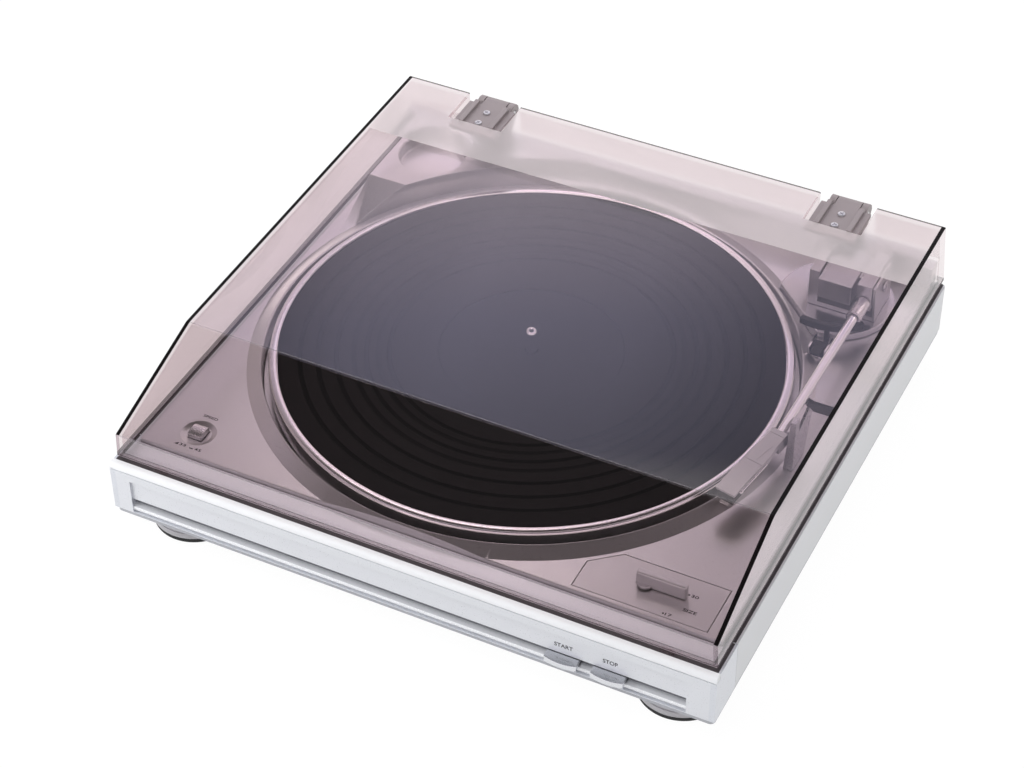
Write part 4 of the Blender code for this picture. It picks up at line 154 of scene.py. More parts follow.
def make_camera():
    """The camera of the photograph: above, in front and to the right, rolled by half a degree."""
    azimuth, elevation, roll = math.radians(26.734), math.radians(41.608), math.radians(-0.527)
    eye = Vector((0.4726, -0.9794, 1.0074))
    back = Vector((math.sin(azimuth) * math.cos(elevation), -math.cos(azimuth) * math.cos(elevation),
                   math.sin(elevation)))
    right = Vector((0.0, 0.0, 1.0)).cross(back).normalized()
    up = back.cross(right)
    across = right * math.cos(roll) + up * math.sin(roll)
    upright = up * math.cos(roll) - right * math.sin(roll)
    camera = bpy.data.cameras.new("camera")
    camera.sensor_width, camera.lens = 36.0, 89.565
    camera.clip_start, camera.clip_end = 0.05, 50.0
    holder = placed("camera", camera)
    holder.matrix_world = Matrix.Translation(eye) @ Matrix((across, upright, back)).transposed().to_4x4()
    bpy.context.scene.camera = holder


bpy.context.scene.view_settings.view_transform = "Standard"
make_room_light()
make_floor()
make_lamp("lamp_front", (-1.2, -0.85, 0.70), (-0.05, -0.10, 0.05), 1.0, 0.8, 12.5, (0.98, 0.99, 1.0))
make_lamp("lamp_right", (1.00, 1.05, 0.50), (0.18, 0.15, 0.04), 0.8, 0.6, 7.0, (1.0, 0.995, 0.98))
make_lamp("lamp_above", (-0.35, 0.9, 1.7), (0.0, 0.0, 0.05), 1.8, 1.2, 13.0, (1.0, 0.985, 0.985))
make_lamp("lamp_near", (-0.30, 0.41, 0.75), (-0.30, 0.41, 0.0), 0.28, 0.16, 0.42, (1.0, 1.0, 1.0), True)
make_lamp("lamp_over", (-0.25, -0.75, 1.7), (0.0, -0.12, 0.03), 1.2, 0.8, 10.0, (1.0, 1.0, 1.0))
make_lamp("lamp_low_left", (-1.33, 1.20, 0.24), (-0.05, 0.05, 0.05), 0.7, 0.4, 1.8, (1.0, 0.99, 0.98), True)
make_camera()


# Plinth frame.
# The cabinet is one moulding in glass-filled plastic, sprayed satin silver, with a rolled rim that
# the deck drops into. Its edges are eased by the mould, and the paint has a fine metallic grain. A
# narrow line of the ledge is painted dark as painted shade, where the cover's foot keeps the light off it.
MM = 0.001


def at(x, y, z):
    """A point given in millimetres."""
    return Vector((x * MM, y * MM, z * MM))


def tinted(colour, factor):
    return tuple(min(1.0, channel * factor) for channel in colour)


def noise(tree, scale, detail):
    return add(tree, "TexNoise", {"Vector": add(tree, "TexCoord").outputs["Object"], "Scale": scale,
                                  "Detail": detail})


def coated(name, colour, roughness, metallic=0.0, mottle=0.04, grain=1500.0, relief=0.05):
    """A moulded or sprayed finish: soft colour mottle, and fine grain in gloss and relief."""
    material, tree, shader = new_material(name)
    cloud, speck = noise(tree, 14.0, 3.0), noise(tree, grain, 4.0)
    both = add(tree, "Math", {0: cloud, 1: speck}, operation="ADD")
    half = add(tree, "Math", {0: both, 1: 0.5}, operation="MULTIPLY")
    shade = ramp(tree, half, (0.35, tinted(colour, 1 - mottle)), (0.65, tinted(colour, 1 + mottle)))
    gloss = add(tree, "MapRange", {"Value": speck, "From Min": 0.3, "From Max": 0.7, "To Min": roughness * 0.9,
                                   "To Max": min(1.0, roughness * 1.12)})
    bump = add(tree, "Bump", {"Height": speck, "Strength": relief, "Distance": 0.05 * MM})
    feed(tree, shader, {"Metallic": metallic, "Base Color": shade, "Roughness": gloss, "Normal": bump})
    return material


def maker_of(mesh):
    maker = bmesh.new()
    maker.from_mesh(mesh)
    return maker


def weld(maker):
    bmesh.ops.remove_doubles(maker, verts=maker.verts, dist=0.002 * MM)
    bmesh.ops.dissolve_limit(maker, angle_limit=math.radians(0.4), verts=maker.verts, edges=maker.edges)
    return maker


def hard_edges(maker, angle):
    return [edge for edge in maker.edges
            if len(edge.link_faces) == 2 and edge.calc_face_angle(0.0) > math.radians(angle)]


def bevel(maker, edges, width, segments, **extra):
    bmesh.ops.bevel(maker, geom=edges, offset=width * MM, offset_type="OFFSET", segments=segments, profile=0.5,
                    affect="EDGES", clamp_overlap=True, **extra)


def ease(maker, width, segments=2, angle=30.0):
    """Round every edge that turns by more than the angle."""
    bevel(maker, hard_edges(maker, angle), width, segments)
    return maker


def eased_copy(node, width, segments=2):
    """The CAD node's form, its hard edges rounded as the mould or the press leaves them."""
    return ease(weld(maker_of(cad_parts[node].data)), width, segments)


def score(maker, planes):
    """Cut edges into the faces along planes, each given by a point and its normal."""
    for place, normal in planes:
        bmesh.ops.bisect_plane(maker, geom=maker.verts[:] + maker.edges[:] + maker.faces[:], plane_co=at(*place),
                               plane_no=normal)


def tone(maker, choose):
    """Give each face the surface that choose picks by its middle, its normal and the surface it has."""
    maker.normal_update()
    for face in maker.faces:
        face.material_index = choose(face.calc_center_median() / MM, face.normal, face.material_index)
    return maker


def form(maker, name="form"):
    """The object made of a mesh in the making."""
    mesh = bpy.data.meshes.new(name)
    maker.to_mesh(mesh)
    maker.free()
    return placed(name, mesh)


def dress(piece, name, body, slot, surfaces, *nodes, angle=30.0):
    """Finish a piece: its name, surfaces, smooth faces, body and the nodes it stands for; its slot is not used."""
    if isinstance(piece, bmesh.types.BMesh):
        piece = form(piece)
    piece.name = name
    if isinstance(surfaces, bpy.types.Material):
        piece.data.materials.clear()
        surfaces = (surfaces,)
    for surface in surfaces:
        piece.data.materials.append(surface)
    piece.data.shade_smooth()
    piece.data.set_sharp_from_angle(angle=math.radians(angle))
    even = piece.modifiers.new("even", "WEIGHTED_NORMAL")
    even.keep_sharp = True
    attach(piece, body)
    if nodes:
        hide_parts(*nodes)


def stand_in(node, name, width, segments, body, slot, surface):
    dress(eased_copy(node, width, segments), name, body, slot, surface, node)


silver_paint = coated("silver_paint", (0.68, 0.685, 0.70), 0.36, 0.30, 0.02, 1700.0, 0.04)
# The ledge's line under the cover's foot is painted dark, as painted shade.
ledge_painted_shade = coated("ledge_painted_shade", (0.06, 0.052, 0.055), 0.5, 0.1, 0.05, 1200.0, 0.05)
line_inner, line_outer, ledge_low = 176.6, 178.6, 52.5
side_lines = [((x, 0.0, 0.0), (1.0, 0.0, 0.0)) for x in (-line_outer, -line_inner, line_inner, line_outer)]


def cabinet_tone(middle, normal, old):
    return int(normal.z > 0.98 and middle.z > ledge_low and line_inner < abs(middle.x) < line_outer)


walls = eased_copy("cabinet", 0.35)
score(walls, side_lines)
dress(tone(walls, cabinet_tone), "cabinet_frame", "plinth", "silver_plastic", (silver_paint, ledge_painted_shade), "cabinet")


# Fascia.
# The front is a second moulding in the same silver, with a long pocket: a flat panel, a cove, a shelf
# and a half-round bar below it. A glossy white strip is glued along its top edge. The maker's words
# are left off the panel. START and STOP are printed above their keys.
# In the pocket the silver is painted: lighter on the panel and near white on the bar's front as painted light, darker
# in the cove and on the bar's top as painted shade. The ledge line is painted shade.
fascia_paint = coated("fascia_paint", (0.70, 0.715, 0.755), 0.30, 0.35, 0.015, 1700.0, 0.03)
panel_painted_light = coated("panel_painted_light", (0.75, 0.76, 0.79), 0.30, 0.35, 0.004, 1700.0, 0.004)
cove_shade = coated("cove_shade", (0.20, 0.205, 0.225), 0.45, 0.2, 0.01, 1700.0, 0.006)
bar_painted_light = coated("bar_painted_light", (0.95, 0.955, 0.97), 0.26, 0.10, 0.004, 1700.0, 0.004)
bar_shoulder_painted_shade = coated("bar_shoulder_painted_shade", (0.60, 0.605, 0.63), 0.30, 0.15, 0.004, 1700.0, 0.004)
strip_gloss = coated("strip_gloss", (0.97, 0.972, 0.98), 0.16, 0.0, 0.01, 900.0, 0.01)
PAINT, PANEL, COVE, BAR, SHOULDER, LEDGE_SHADE = range(6)
line_front = -166.4
pocket_back, pocket_middle, pocket_half = -169.0, -2.0, 165.9
pocket_tones = ((20.7, 24.6, BAR), (24.6, 25.9, SHOULDER), (25.9, 29.75, COVE), (29.75, 43.4, PANEL))


def fascia_tone(middle, normal, old):
    """Painted shade on the line under the cover's foot, and in the pocket painted light and shade by height."""
    for low, high, shade in pocket_tones:
        in_pocket = middle.y <= pocket_back and abs(middle.x - pocket_middle) <= pocket_half
        if in_pocket and low < middle.z < high and (shade != PANEL or normal.y < -0.9):
            return shade
    in_line = middle.y < line_front or line_inner < abs(middle.x)
    return LEDGE_SHADE if normal.z > 0.98 and middle.z > ledge_low and in_line and abs(middle.x) < line_outer else PAINT


front = eased_copy("front_fascia", 0.3)
score(front, [((0.0, line_front, 0.0), (0.0, 1.0, 0.0))] + side_lines)
dress(tone(front, fascia_tone), "fascia_moulding", "plinth", "silver_plastic",
      (fascia_paint, panel_painted_light, cove_shade, bar_painted_light, bar_shoulder_painted_shade, ledge_painted_shade), "front_fascia")
stand_in("fascia_top_strip", "fascia_strip", 0.25, 2, "plinth", "white_plastic", strip_gloss)


# Start and stop keys.
# Two silver sliding keys with a sloped top and a crowned front. They push straight in.
key_paint = coated("key_paint", (0.70, 0.71, 0.74), 0.24, 0.92, 0.008, 1700.0, 0.005)
for key in ("start", "stop"):
    stand_in(key + "_button", key + "_key_cap", 0.4, 2, key + "_key", "key_silver", key_paint)


# Bottom cover.
# Grey moulded pan that closes the plinth from below, with a row of vents. Eight cross-head screws
# hold it, and its lip fits inside the walls.
def lathe(profile, centre=(0.0, 0.0), facets=96):
    """Turn a closed profile of (radius, height) points about an upright axis."""
    maker = bmesh.new()
    turn = 2 * math.pi / facets
    rings = []
    for radius, height in profile:
        count = 1 if radius < 0.0001 else facets
        rings.append([maker.verts.new(at(centre[0] + radius * math.cos(turn * step),
                                         centre[1] + radius * math.sin(turn * step), height))
                      for step in range(count)])
    for place, ring in enumerate(rings):
        after = rings[(place + 1) % len(rings)]
        for step in range(facets):
            further = step + 1
            corners = [ring[step % len(ring)], ring[further % len(ring)],
                       after[further % len(after)], after[step % len(after)]]
            corners = list(dict.fromkeys(corners))
            if len(corners) > 2:
                maker.faces.new(corners)
    bmesh.ops.recalc_face_normals(maker, faces=maker.faces)
    return maker


def drum(radius, low, high, centre, facets=96):
    return lathe([(0.0, low), (radius, low), (radius, high), (0.0, high)], centre, facets)


def fillet(corners, steps=4):
    """Round the corners of a closed outline. Each corner is (across, up, radius), or just a point."""
    points = []
    corners = [[value * MM for value in corner] for corner in corners]
    for place, corner in enumerate(corners):
        here = Vector(corner[:2])
        if len(corner) < 3:
            points.append((here.x / MM, here.y / MM))
            continue
        before = Vector(corners[place - 1][:2]) - here
        after = Vector(corners[(place + 1) % len(corners)][:2]) - here
        half = before.angle(after) / 2
        reach = min(corner[2] / math.tan(half), 0.48 * before.length, 0.48 * after.length)
        size = reach * math.tan(half)
        middle = here + (before.normalized() + after.normalized()).normalized() * size / math.sin(half)
        first = here + before.normalized() * reach - middle
        last = here + after.normalized() * reach - middle
        start = math.atan2(first.y, first.x)
        sweep = (math.atan2(last.y, last.x) - start + math.pi) % (2 * math.pi) - math.pi
        for step in range(steps + 1):
            angle = start + sweep * step / steps
            points.append(((middle.x + size * math.cos(angle)) / MM, (middle.y + size * math.sin(angle)) / MM))
    return points


def block(*ranges):
    """A box given by its low and high x, y and z."""
    maker = bmesh.new()
    middle = at(*[(low + high) / 2 for low, high in ranges])
    size = at(*[high - low for low, high in ranges])
    bmesh.ops.create_cube(maker, size=1.0, matrix=Matrix.Translation(middle) @ Matrix.Diagonal((*size, 1.0)))
    return maker


def mesh_of(holder):
    """The mesh that an object comes to with its modifiers."""
    return bpy.data.meshes.new_from_object(holder.evaluated_get(bpy.context.evaluated_depsgraph_get()))


def drop(holder):
    bpy.data.objects.remove(holder, do_unlink=True)


def carve(target, tool, operation="DIFFERENCE"):
    """Cut a tool out of a piece, or join it on, and clean what the cut leaves."""
    if isinstance(tool, bmesh.types.BMesh):
        tool = form(tool)
    step = target.modifiers.new("carve", "BOOLEAN")
    step.operation = operation
    step.solver = "EXACT"
    step.object = tool
    shape = mesh_of(target)
    target.modifiers.remove(step)
    maker = maker_of(shape)
    bmesh.ops.remove_doubles(maker, verts=maker.verts, dist=0.001 * MM)
    bmesh.ops.dissolve_degenerate(maker, edges=maker.edges, dist=0.001 * MM)
    maker.to_mesh(shape)
    maker.free()
    old = target.data
    target.data = shape
    bpy.data.meshes.remove(old)
    drop(tool)


def spread(item, places, lean, surface, seed):
    """Set a copy of an item on each place, leaned as given, each with its own turn, and make one mesh of them."""
    full_turn = 6.28
    points = bpy.data.meshes.new("places")
    points.from_pydata([at(*place) for place in places], [], [])
    holder = placed("spread", points)
    tree = bpy.data.node_groups.new("spread", "GeometryNodeTree")
    tree.interface.new_socket("Places", in_out="INPUT", socket_type="NodeSocketGeometry")
    tree.interface.new_socket("Copies", in_out="OUTPUT", socket_type="NodeSocketGeometry")
    entry = add(tree, "NodeGroupInput")
    source = add(tree, "GeometryNodeObjectInfo", {"Object": item, "As Instance": True})
    chance = add(tree, "FunctionNodeRandomValue", data_type="FLOAT")
    feed(tree, chance, {3: full_turn, "Seed": seed})
    about = add(tree, "FunctionNodeEulerToRotation", {0: add(tree, "CombineXYZ", {"Z": chance.outputs[1]})})
    leaning = add(tree, "FunctionNodeEulerToRotation", {0: lean})
    both = add(tree, "FunctionNodeRotateRotation", {0: leaning, 1: about}, rotation_space="LOCAL")
    copies = add(tree, "GeometryNodeInstanceOnPoints", {"Points": entry, "Instance": source.outputs["Geometry"],
                                                       "Rotation": both})
    real = add(tree, "GeometryNodeRealizeInstances", {"Geometry": copies})
    add(tree, "NodeGroupOutput", {"Copies": add(tree, "GeometryNodeSetMaterial",
                                               {"Geometry": real, "Material": surface})})
    step = holder.modifiers.new("spread", "NODES")
    step.node_group = tree
    made = mesh_of(holder)
    holder.modifiers.clear()
    holder.data = made
    bpy.data.meshes.remove(points)
    drop(item)
    return holder


def screw_item(radius, height):
    """Pan head with a cross recess. Its top faces up and its seat is at zero."""
    head_line = fillet([(0.0, 0.0), (radius, 0.0), (radius, height, 0.6 * height), (0.0, height)], 5)
    screw_head = form(lathe(head_line, facets=32))
    reach, half = 0.62 * radius, 0.13 * radius
    for across, along in ((reach, half), (half, reach)):
        carve(screw_head, block((-across, across), (-along, along), (0.45 * height, 2 * height)))
    return screw_head


def turned_metal(name, colour, roughness, centre=(0.0, 0.0), rings=2600.0, relief=0.03):
    """Metal with the fine circular lines that a lathe or a polishing mop leaves."""
    material, tree, shader = new_material(name)
    shift = add(tree, "Mapping", {"Vector": add(tree, "TexCoord").outputs["Object"],
                                  "Location": at(-centre[0], -centre[1], 0.0)})
    flat = add(tree, "VectorMath", {0: shift, 1: (1.0, 1.0, 0.0)}, operation="MULTIPLY")
    reach = add(tree, "VectorMath", {0: flat}, operation="LENGTH")
    split = add(tree, "SeparateXYZ", {0: shift})
    spot = add(tree, "CombineXYZ", {0: reach.outputs["Value"], 1: split.outputs["Z"]})
    lines = add(tree, "TexNoise", {"Vector": spot, "Scale": rings, "Detail": 5.0})
    shade = ramp(tree, lines, (0.3, tinted(colour, 0.93)), (0.7, tinted(colour, 1.04)))
    gloss = add(tree, "MapRange", {"Value": lines, "To Min": roughness * 0.8, "To Max": roughness * 1.3})
    bump = add(tree, "Bump", {"Height": lines, "Strength": relief, "Distance": 0.1 * MM})
    feed(tree, shader, {"Metallic": 1.0, "Base Color": shade, "Roughness": gloss, "Normal": bump})
    return material


pan_grey = coated("pan_grey", (0.46, 0.465, 0.49), 0.45, 0.1, 0.05, 900.0, 0.3)
stand_in("bottom_cover", "bottom_pan", 0.25, 1, "plinth", "dark_plastic", pan_grey)
zinc = turned_metal("zinc", (0.60, 0.60, 0.62), 0.3)
pan_screws = [(x, y, 17.4) for x in (-168.0, -58.0, 58.0, 168.0) for y in (-163.0, 160.0)]
dress(spread(screw_item(3.1, 1.3), pan_screws, (math.pi, 0.0, 0.0), zinc, 5), "bottom_screws", "plinth", "steel", ())


# Feet.
# Four hollow turned feet in grey plastic with a soft metallic look, a fine groove round the waist,
# and a black rubber ring pressed into each, with two grooves in its tread.
foot_grey = coated("foot_grey", (0.47, 0.455, 0.475), 0.38, 0.35, 0.05, 1300.0, 0.1)
foot_rubber = coated("foot_rubber", (0.016, 0.016, 0.017), 0.75, 0.0, 0.15, 1100.0, 0.4)
foot_line = fillet([(25.4, 3.1, 0.7), (25.4, 7.0, 0.2), (24.8, 7.3, 0.1), (24.8, 7.9, 0.1), (25.4, 8.2, 0.2),
                    (25.4, 11.1, 1.2), (23.0, 16.8, 0.5), (0.0, 16.8), (0.0, 12.8), (17.6, 12.8, 1.0),
                    (19.2, 3.1, 0.4)])
pad_line = fillet([(radius, height, 0.4) for radius, height in (
    (24.7, 0.0), (24.7, 2.8), (19.2, 2.8), (19.2, 0.0), (20.6, 0.0), (20.9, 0.6), (21.3, 0.6), (21.6, 0.0),
    (22.4, 0.0), (22.7, 0.6), (23.1, 0.6), (23.4, 0.0))], 2)
for corner, spot in (("front_left", (-148.7, -140.9)), ("front_right", (148.7, -140.9)),
                     ("rear_left", (-148.7, 138.5)), ("rear_right", (148.7, 138.5))):
    dress(lathe(foot_line, spot), "foot_body_" + corner, "plinth", "grey_plastic", foot_grey, "foot_" + corner)
    dress(lathe(pad_line, spot), "foot_ring_" + corner, "plinth", "rubber", foot_rubber, "foot_pad_" + corner)


# Cord gland.
# A black rubber bush in the back wall, flanged on both sides. No cord shows in the photograph.
stand_in("cord_gland", "lead_bush", 0.25, 2, "plinth", "rubber", foot_rubber)


# Top deck.
# One large moulding, sprayed satin silver with a fine metal flake: sloped collar and well of the
# platter, ramp and raised corner that follow the platter's circle, rear ledge for the hinges, a
# shallow dark slot and the dish of the speed key. It is hollow and drops into the plinth's rim.
def grow(maker, faces, step):
    """Extrude faces by a step."""
    grown = bmesh.ops.extrude_face_region(maker, geom=faces)
    bmesh.ops.translate(maker, vec=step, verts=[item for item in grown["geom"]
                                                if isinstance(item, bmesh.types.BMVert)])
    bmesh.ops.recalc_face_normals(maker, faces=maker.faces)


def prism(outline, low, high, along="z"):
    """Extrude an outline: (x, y) along z, (y, z) along x, (x, z) along y."""
    order = {"x": (2, 0, 1), "y": (0, 2, 1), "z": (0, 1, 2)}[along]
    maker = bmesh.new()
    corners = [maker.verts.new(at(*[(*point, low)[place] for place in order])) for point in outline]
    grow(maker, [maker.faces.new(corners)], at(*[(0.0, 0.0, high - low)[place] for place in order]))
    return maker


def soften(target, width, segments, angle):
    """Round the edges that the carving has left."""
    maker = maker_of(target.data)
    bmesh.ops.recalc_face_normals(maker, faces=maker.faces)
    ease(weld(maker), width, segments, angle)
    maker.to_mesh(target.data)
    maker.free()


deck_half, deck_front, deck_back = 173.7, -151.3, 169.3
deck_top, skirt_low, deck_wall = 55.3, 45.6, 2.5
ledge_front, raised_top, raised_left = 160.2, 70.0, -166.3
ramp_front, ramp_back, ramp_slope = 65.7, 98.2, 14.7 / 32.5
well_radius, bore_radius, collar_radius = 153.1, 155.6, 162.0
collar_top, well_floor, well_under = 59.0, 47.5, 45.0
over, under = 80.0, 40.0
hub, adapter, arm = (-9.8, 3.5), (-141.5, 133.7), (128.5, 124.2)
speed, size_pivot = (-147.0, -134.0), (121.6, -131.4)
FINE = 256


def raised_section(sink):
    """Side view of the ramp and the raised corner, sunk by a wall's thickness or not."""
    low, high, back = deck_top - sink - 1.0, raised_top - sink, ledge_front + 2.5
    return [(ramp_front - 1.0 / ramp_slope, low), (ramp_back, high), (back, high), (back, low)]


def arm_outline(margin, facets=128):
    """The arm's base disc with the chord that faces the platter."""
    radius = 33.8 + margin
    half = math.acos((26.2 + margin) / radius)
    start = math.radians(228.0) + half
    sweep = 2 * math.pi - 2 * half
    return [(arm[0] + radius * math.cos(start + sweep * step / facets),
             arm[1] + radius * math.sin(start + sweep * step / facets)) for step in range(facets + 1)]


deck = form(ease(block((-deck_half, deck_half), (deck_front, deck_back), (skirt_low, deck_top)), 0.5, 3))
carve(deck, ease(block((-deck_half, deck_half), (ledge_front, deck_back), (deck_top - 2.0, raised_top)), 0.5, 3),
      "UNION")
raised = form(prism(raised_section(0.0), raised_left, hub[0], "x"))
carve(raised, drum(collar_radius, skirt_low, over, hub, FINE))
soften(raised, 0.6, 3, 20.0)
carve(deck, raised, "UNION")
collar = form(lathe([(0.0, well_under), (bore_radius, well_under), (bore_radius, deck_top - 1.0),
                     (164.135, deck_top - 1.0), (154.4, 58.86), (154.0, 58.97), (153.5, collar_top),
                     (0.0, collar_top)], hub, FINE))
carve(collar, block((-400.0, 400.0), (-400.0, deck_front), (0.0, 200.0)))
carve(deck, collar, "UNION")
inner = deck_half - deck_wall
hollow = form(block((-inner, inner), (deck_front + deck_wall, deck_back - deck_wall),
                    (skirt_low - 4.0, deck_top - deck_wall)))
carve(hollow, block((-inner, inner), (ledge_front + deck_wall, deck_back - deck_wall),
                    (skirt_low, raised_top - deck_wall)), "UNION")
raised_inside = form(prism(raised_section(deck_wall), raised_left + deck_wall, hub[0], "x"))
carve(raised_inside, drum(collar_radius + deck_wall, skirt_low, over, hub, FINE))
carve(raised_inside, drum(23.0, 59.5, over, adapter))
carve(hollow, raised_inside, "UNION")
carve(hollow, drum(bore_radius, under, deck_top, hub, FINE))
panel_corners = [(87.1, -148.7), (163.8, -148.7), (163.8, -116.1), (102.9, -116.1), (87.1, -129.3)]
lift_opening = ((130.0, 141.6), (73.1, 86.7), (deck_top, 60.0))
key_opening = ((speed[0] - 4.7, speed[0] + 4.7), (speed[1] - 4.9, speed[1] + 4.9), (under, 58.0))
slot_outline = [(145.0, 32.7), (149.0, 30.6), (161.0, 30.6), (161.0, 39.0), (145.0, 39.0)]
well_line = fillet([(0.0, well_floor), (well_radius, well_floor, 1.0), (well_radius, 58.5, 0.2),
                    (153.6, collar_top), (153.6, 66.0), (0.0, 66.0)])
recess_line = fillet([(0.0, 62.0), (20.5, 62.0, 1.2), (20.5, 69.2, 0.4), (21.3, raised_top), (21.3, 74.0),
                      (0.0, 74.0)])
dish_line = fillet([(0.0, 54.2), (7.2, 54.2, 1.5), (10.2, deck_top, 0.8), (10.8, 58.0), (0.0, 58.0)], 5)
for tool in (hollow, lathe(well_line, hub, FINE), drum(19.0, under, 50.0, hub), lathe(recess_line, adapter),
             prism(arm_outline(0.3), deck_top, 64.0), drum(9.3, under, 60.0, arm),
             prism(panel_corners, 53.8, 60.0), drum(2.5, under, 60.0, size_pivot), prism(slot_outline, 54.1, 60.0),
             block(*lift_opening), lathe(dish_line, speed), block(*key_opening)):
    carve(deck, tool)
deck_paint = coated("deck_paint", (0.70, 0.69, 0.69), 0.30, 0.88, 0.015, 1500.0, 0.05)
dress(deck, "deck_moulding", "plinth", "satin_deck", deck_paint, "top_deck", angle=25.0)
dark_floor = coated("dark_floor", (0.05, 0.048, 0.05), 0.5, 0.2, 0.06, 1200.0, 0.1)
slot_floor = [(145.3, 33.0), (149.1, 30.9), (160.7, 30.9), (160.7, 38.7), (145.3, 38.7)]
dress(prism(slot_floor, 54.15, 54.5), "slot_floor", "plinth", "dark_plastic", dark_floor)


# Size panel.
# A thin inset plate in the deck's finish, with a dark joint round it and a dished seat for the lever.
panel_inside = [(87.5, -148.4), (163.4, -148.4), (163.4, -116.5), (103.05, -116.5), (87.5, -129.5)]
plate = form(ease(prism(panel_inside, 54.1, deck_top), 0.15))
carve(plate, drum(2.5, 50.0, 60.0, size_pivot))
carve(plate, lathe([(2.0, 54.7), (5.3, 54.7), (5.3, 60.0), (2.0, 60.0)], (size_pivot[0], size_pivot[1] - 0.6)))
panel_paint = coated("panel_paint", (0.67, 0.66, 0.66), 0.32, 0.88, 0.015, 1500.0, 0.05)
dress(plate, "size_plate", "plinth", "satin_deck", panel_paint, "size_panel", angle=25.0)
dress(prism(panel_corners, 53.85, 54.05), "size_seat", "plinth", "dark_plastic", dark_floor)


# Printed words.
# Thin dark lettering screened on the deck and the fascia. Each word is a sliver of ink, 0.05 mm thick.
ink_depth = 0.05


def printed(words, width, height, place, upright=False):
    """Letters made to the given width and height, centred on a place of the deck or the fascia."""
    curve = bpy.data.curves.new("words", "FONT")
    curve.body = words
    curve.align_x = curve.align_y = "CENTER"
    curve.size = 10.0 * MM
    curve.resolution_u = 6
    curve.offset = 0.12 * MM
    holder = placed("words", curve)
    shape = mesh_of(holder)
    drop(holder)
    maker = maker_of(shape)
    bpy.data.meshes.remove(shape)
    bmesh.ops.remove_doubles(maker, verts=maker.verts, dist=0.0001 * MM)
    for face in maker.faces:
        if face.normal.z < 0:
            face.normal_flip()
    grow(maker, list(maker.faces), (0.0, 0.0, 1.0))
    (low_x, high_x), (low_y, high_y) = [(min(v.co[axis] for v in maker.verts), max(v.co[axis] for v in maker.verts))
                                        for axis in (0, 1)]
    middle = Matrix.Translation((-(low_x + high_x) / 2, -(low_y + high_y) / 2, 0.0))
    fit = Matrix.Diagonal((width * MM / (high_x - low_x), height * MM / (high_y - low_y), ink_depth * MM, 1.0))
    lean = Matrix.Rotation(math.pi / 2, 4, "X") if upright else Matrix.Identity(4)
    maker.transform(Matrix.Translation(at(*place)) @ lean @ fit @ middle)
    return maker


ink = coated("ink", (0.012, 0.011, 0.013), 0.6, 0.0, 0.08, 1500.0, 0.05)
fascia_face, ink_top = -172.5, deck_top + ink_depth
mark_33 = [(-155.1, -146.8), (-152.7, -146.8), (-152.7, -145.0)]
mark_45 = [(-145.5, -146.8), (-143.1, -146.8), (-143.1, -146.1), (-145.5, -146.1)]
for name, maker in (("print_speed", printed("SPEED", 9.2, 1.9, (-147.5, -120.3, deck_top))),
                    ("print_33", printed("33", 4.0, 1.9, (-149.9, -145.9, deck_top))),
                    ("print_45", printed("45", 4.0, 1.9, (-140.3, -145.9, deck_top))),
                    ("print_30", printed("30", 4.1, 2.0, (148.3, -128.5, deck_top))),
                    ("print_17", printed("17", 3.6, 2.0, (140.9, -146.1, deck_top))),
                    ("print_size", printed("SIZE", 7.6, 2.1, (150.0, -139.2, deck_top))),
                    ("print_mark_33", prism(mark_33, deck_top, ink_top)),
                    ("print_mark_45", prism(mark_45, deck_top, ink_top)),
                    ("print_start", printed("START", 10.6, 2.8, (94.5, fascia_face, 35.4), True)),
                    ("print_stop", printed("STOP", 8.4, 2.8, (121.0, fascia_face, 35.6), True)),
                    ("print_dot_30", drum(0.55, deck_top, ink_top, (145.0, -128.5), 24)),
                    ("print_dot_17", drum(0.55, deck_top, ink_top, (138.0, -146.1), 24))):
    dress(maker, name, "plinth", "dark_plastic", ink)


# Platter.
# Die-cast aluminium, turned and polished on its rounded rim, with ribs and the belt's ring below.
def swung(maker, centre, degrees):
    """A form made along the x axis, swung about the origin and set on a centre."""
    maker.transform(Matrix.Translation(at(*centre, 0.0)) @ Matrix.Rotation(math.radians(degrees), 4, "Z"))
    return maker


polished = turned_metal("polished_rim", (0.90, 0.88, 0.885), 0.19, hub, 3000.0, 0.02)
rim_radius, rim_inner, rim_top, rim_low, mat_seat = 149.3, 145.7, 63.0, 51.0, 144.5
plate_top, plate_under, ring_low = 59.5, 57.0, 50.8
ring_outer, ring_inner, hub_radius, pin_hole = 78.0, 75.4, 13.0, 3.8
motor = (-87.5817, 81.2817)
rim_crown = [(middle_x + radius * math.sin(math.radians(angle)), middle_z + radius * math.cos(math.radians(angle)))
             for middle_x, middle_z, radius, angles in (
                 (146.2, 54.0, 9.0, range(-8, 14, 3)),
                 (rim_radius - 2.0, rim_top - 2.35, 2.0, range(30, 90, 12))) for angle in angles]
platter = form(lathe(fillet([
    (pin_hole, plate_top), (mat_seat, plate_top), (mat_seat, rim_top - 0.35, 0.2)] + rim_crown + [
    (rim_radius, rim_low, 0.6), (rim_inner, rim_low, 0.6), (rim_inner, plate_under, 1.0), (ring_outer, plate_under),
    (ring_outer, ring_low, 0.3), (ring_inner, ring_low, 0.3), (ring_inner, plate_under),
    (hub_radius, plate_under, 1.0), (hub_radius, ring_low, 0.4), (pin_hole, ring_low)], 8), hub, FINE))
for number in range(12):
    rib = swung(block((12.0, 76.4), (-1.0, 1.0), (53.5, 58.0)), hub, 30.0 * number)
    carve(platter, rib, "UNION")
carve(platter, drum(11.0, 50.0, 62.0, motor, 64))
dress(platter, "platter_casting", "platter", "aluminium", polished, "platter", angle=25.0)


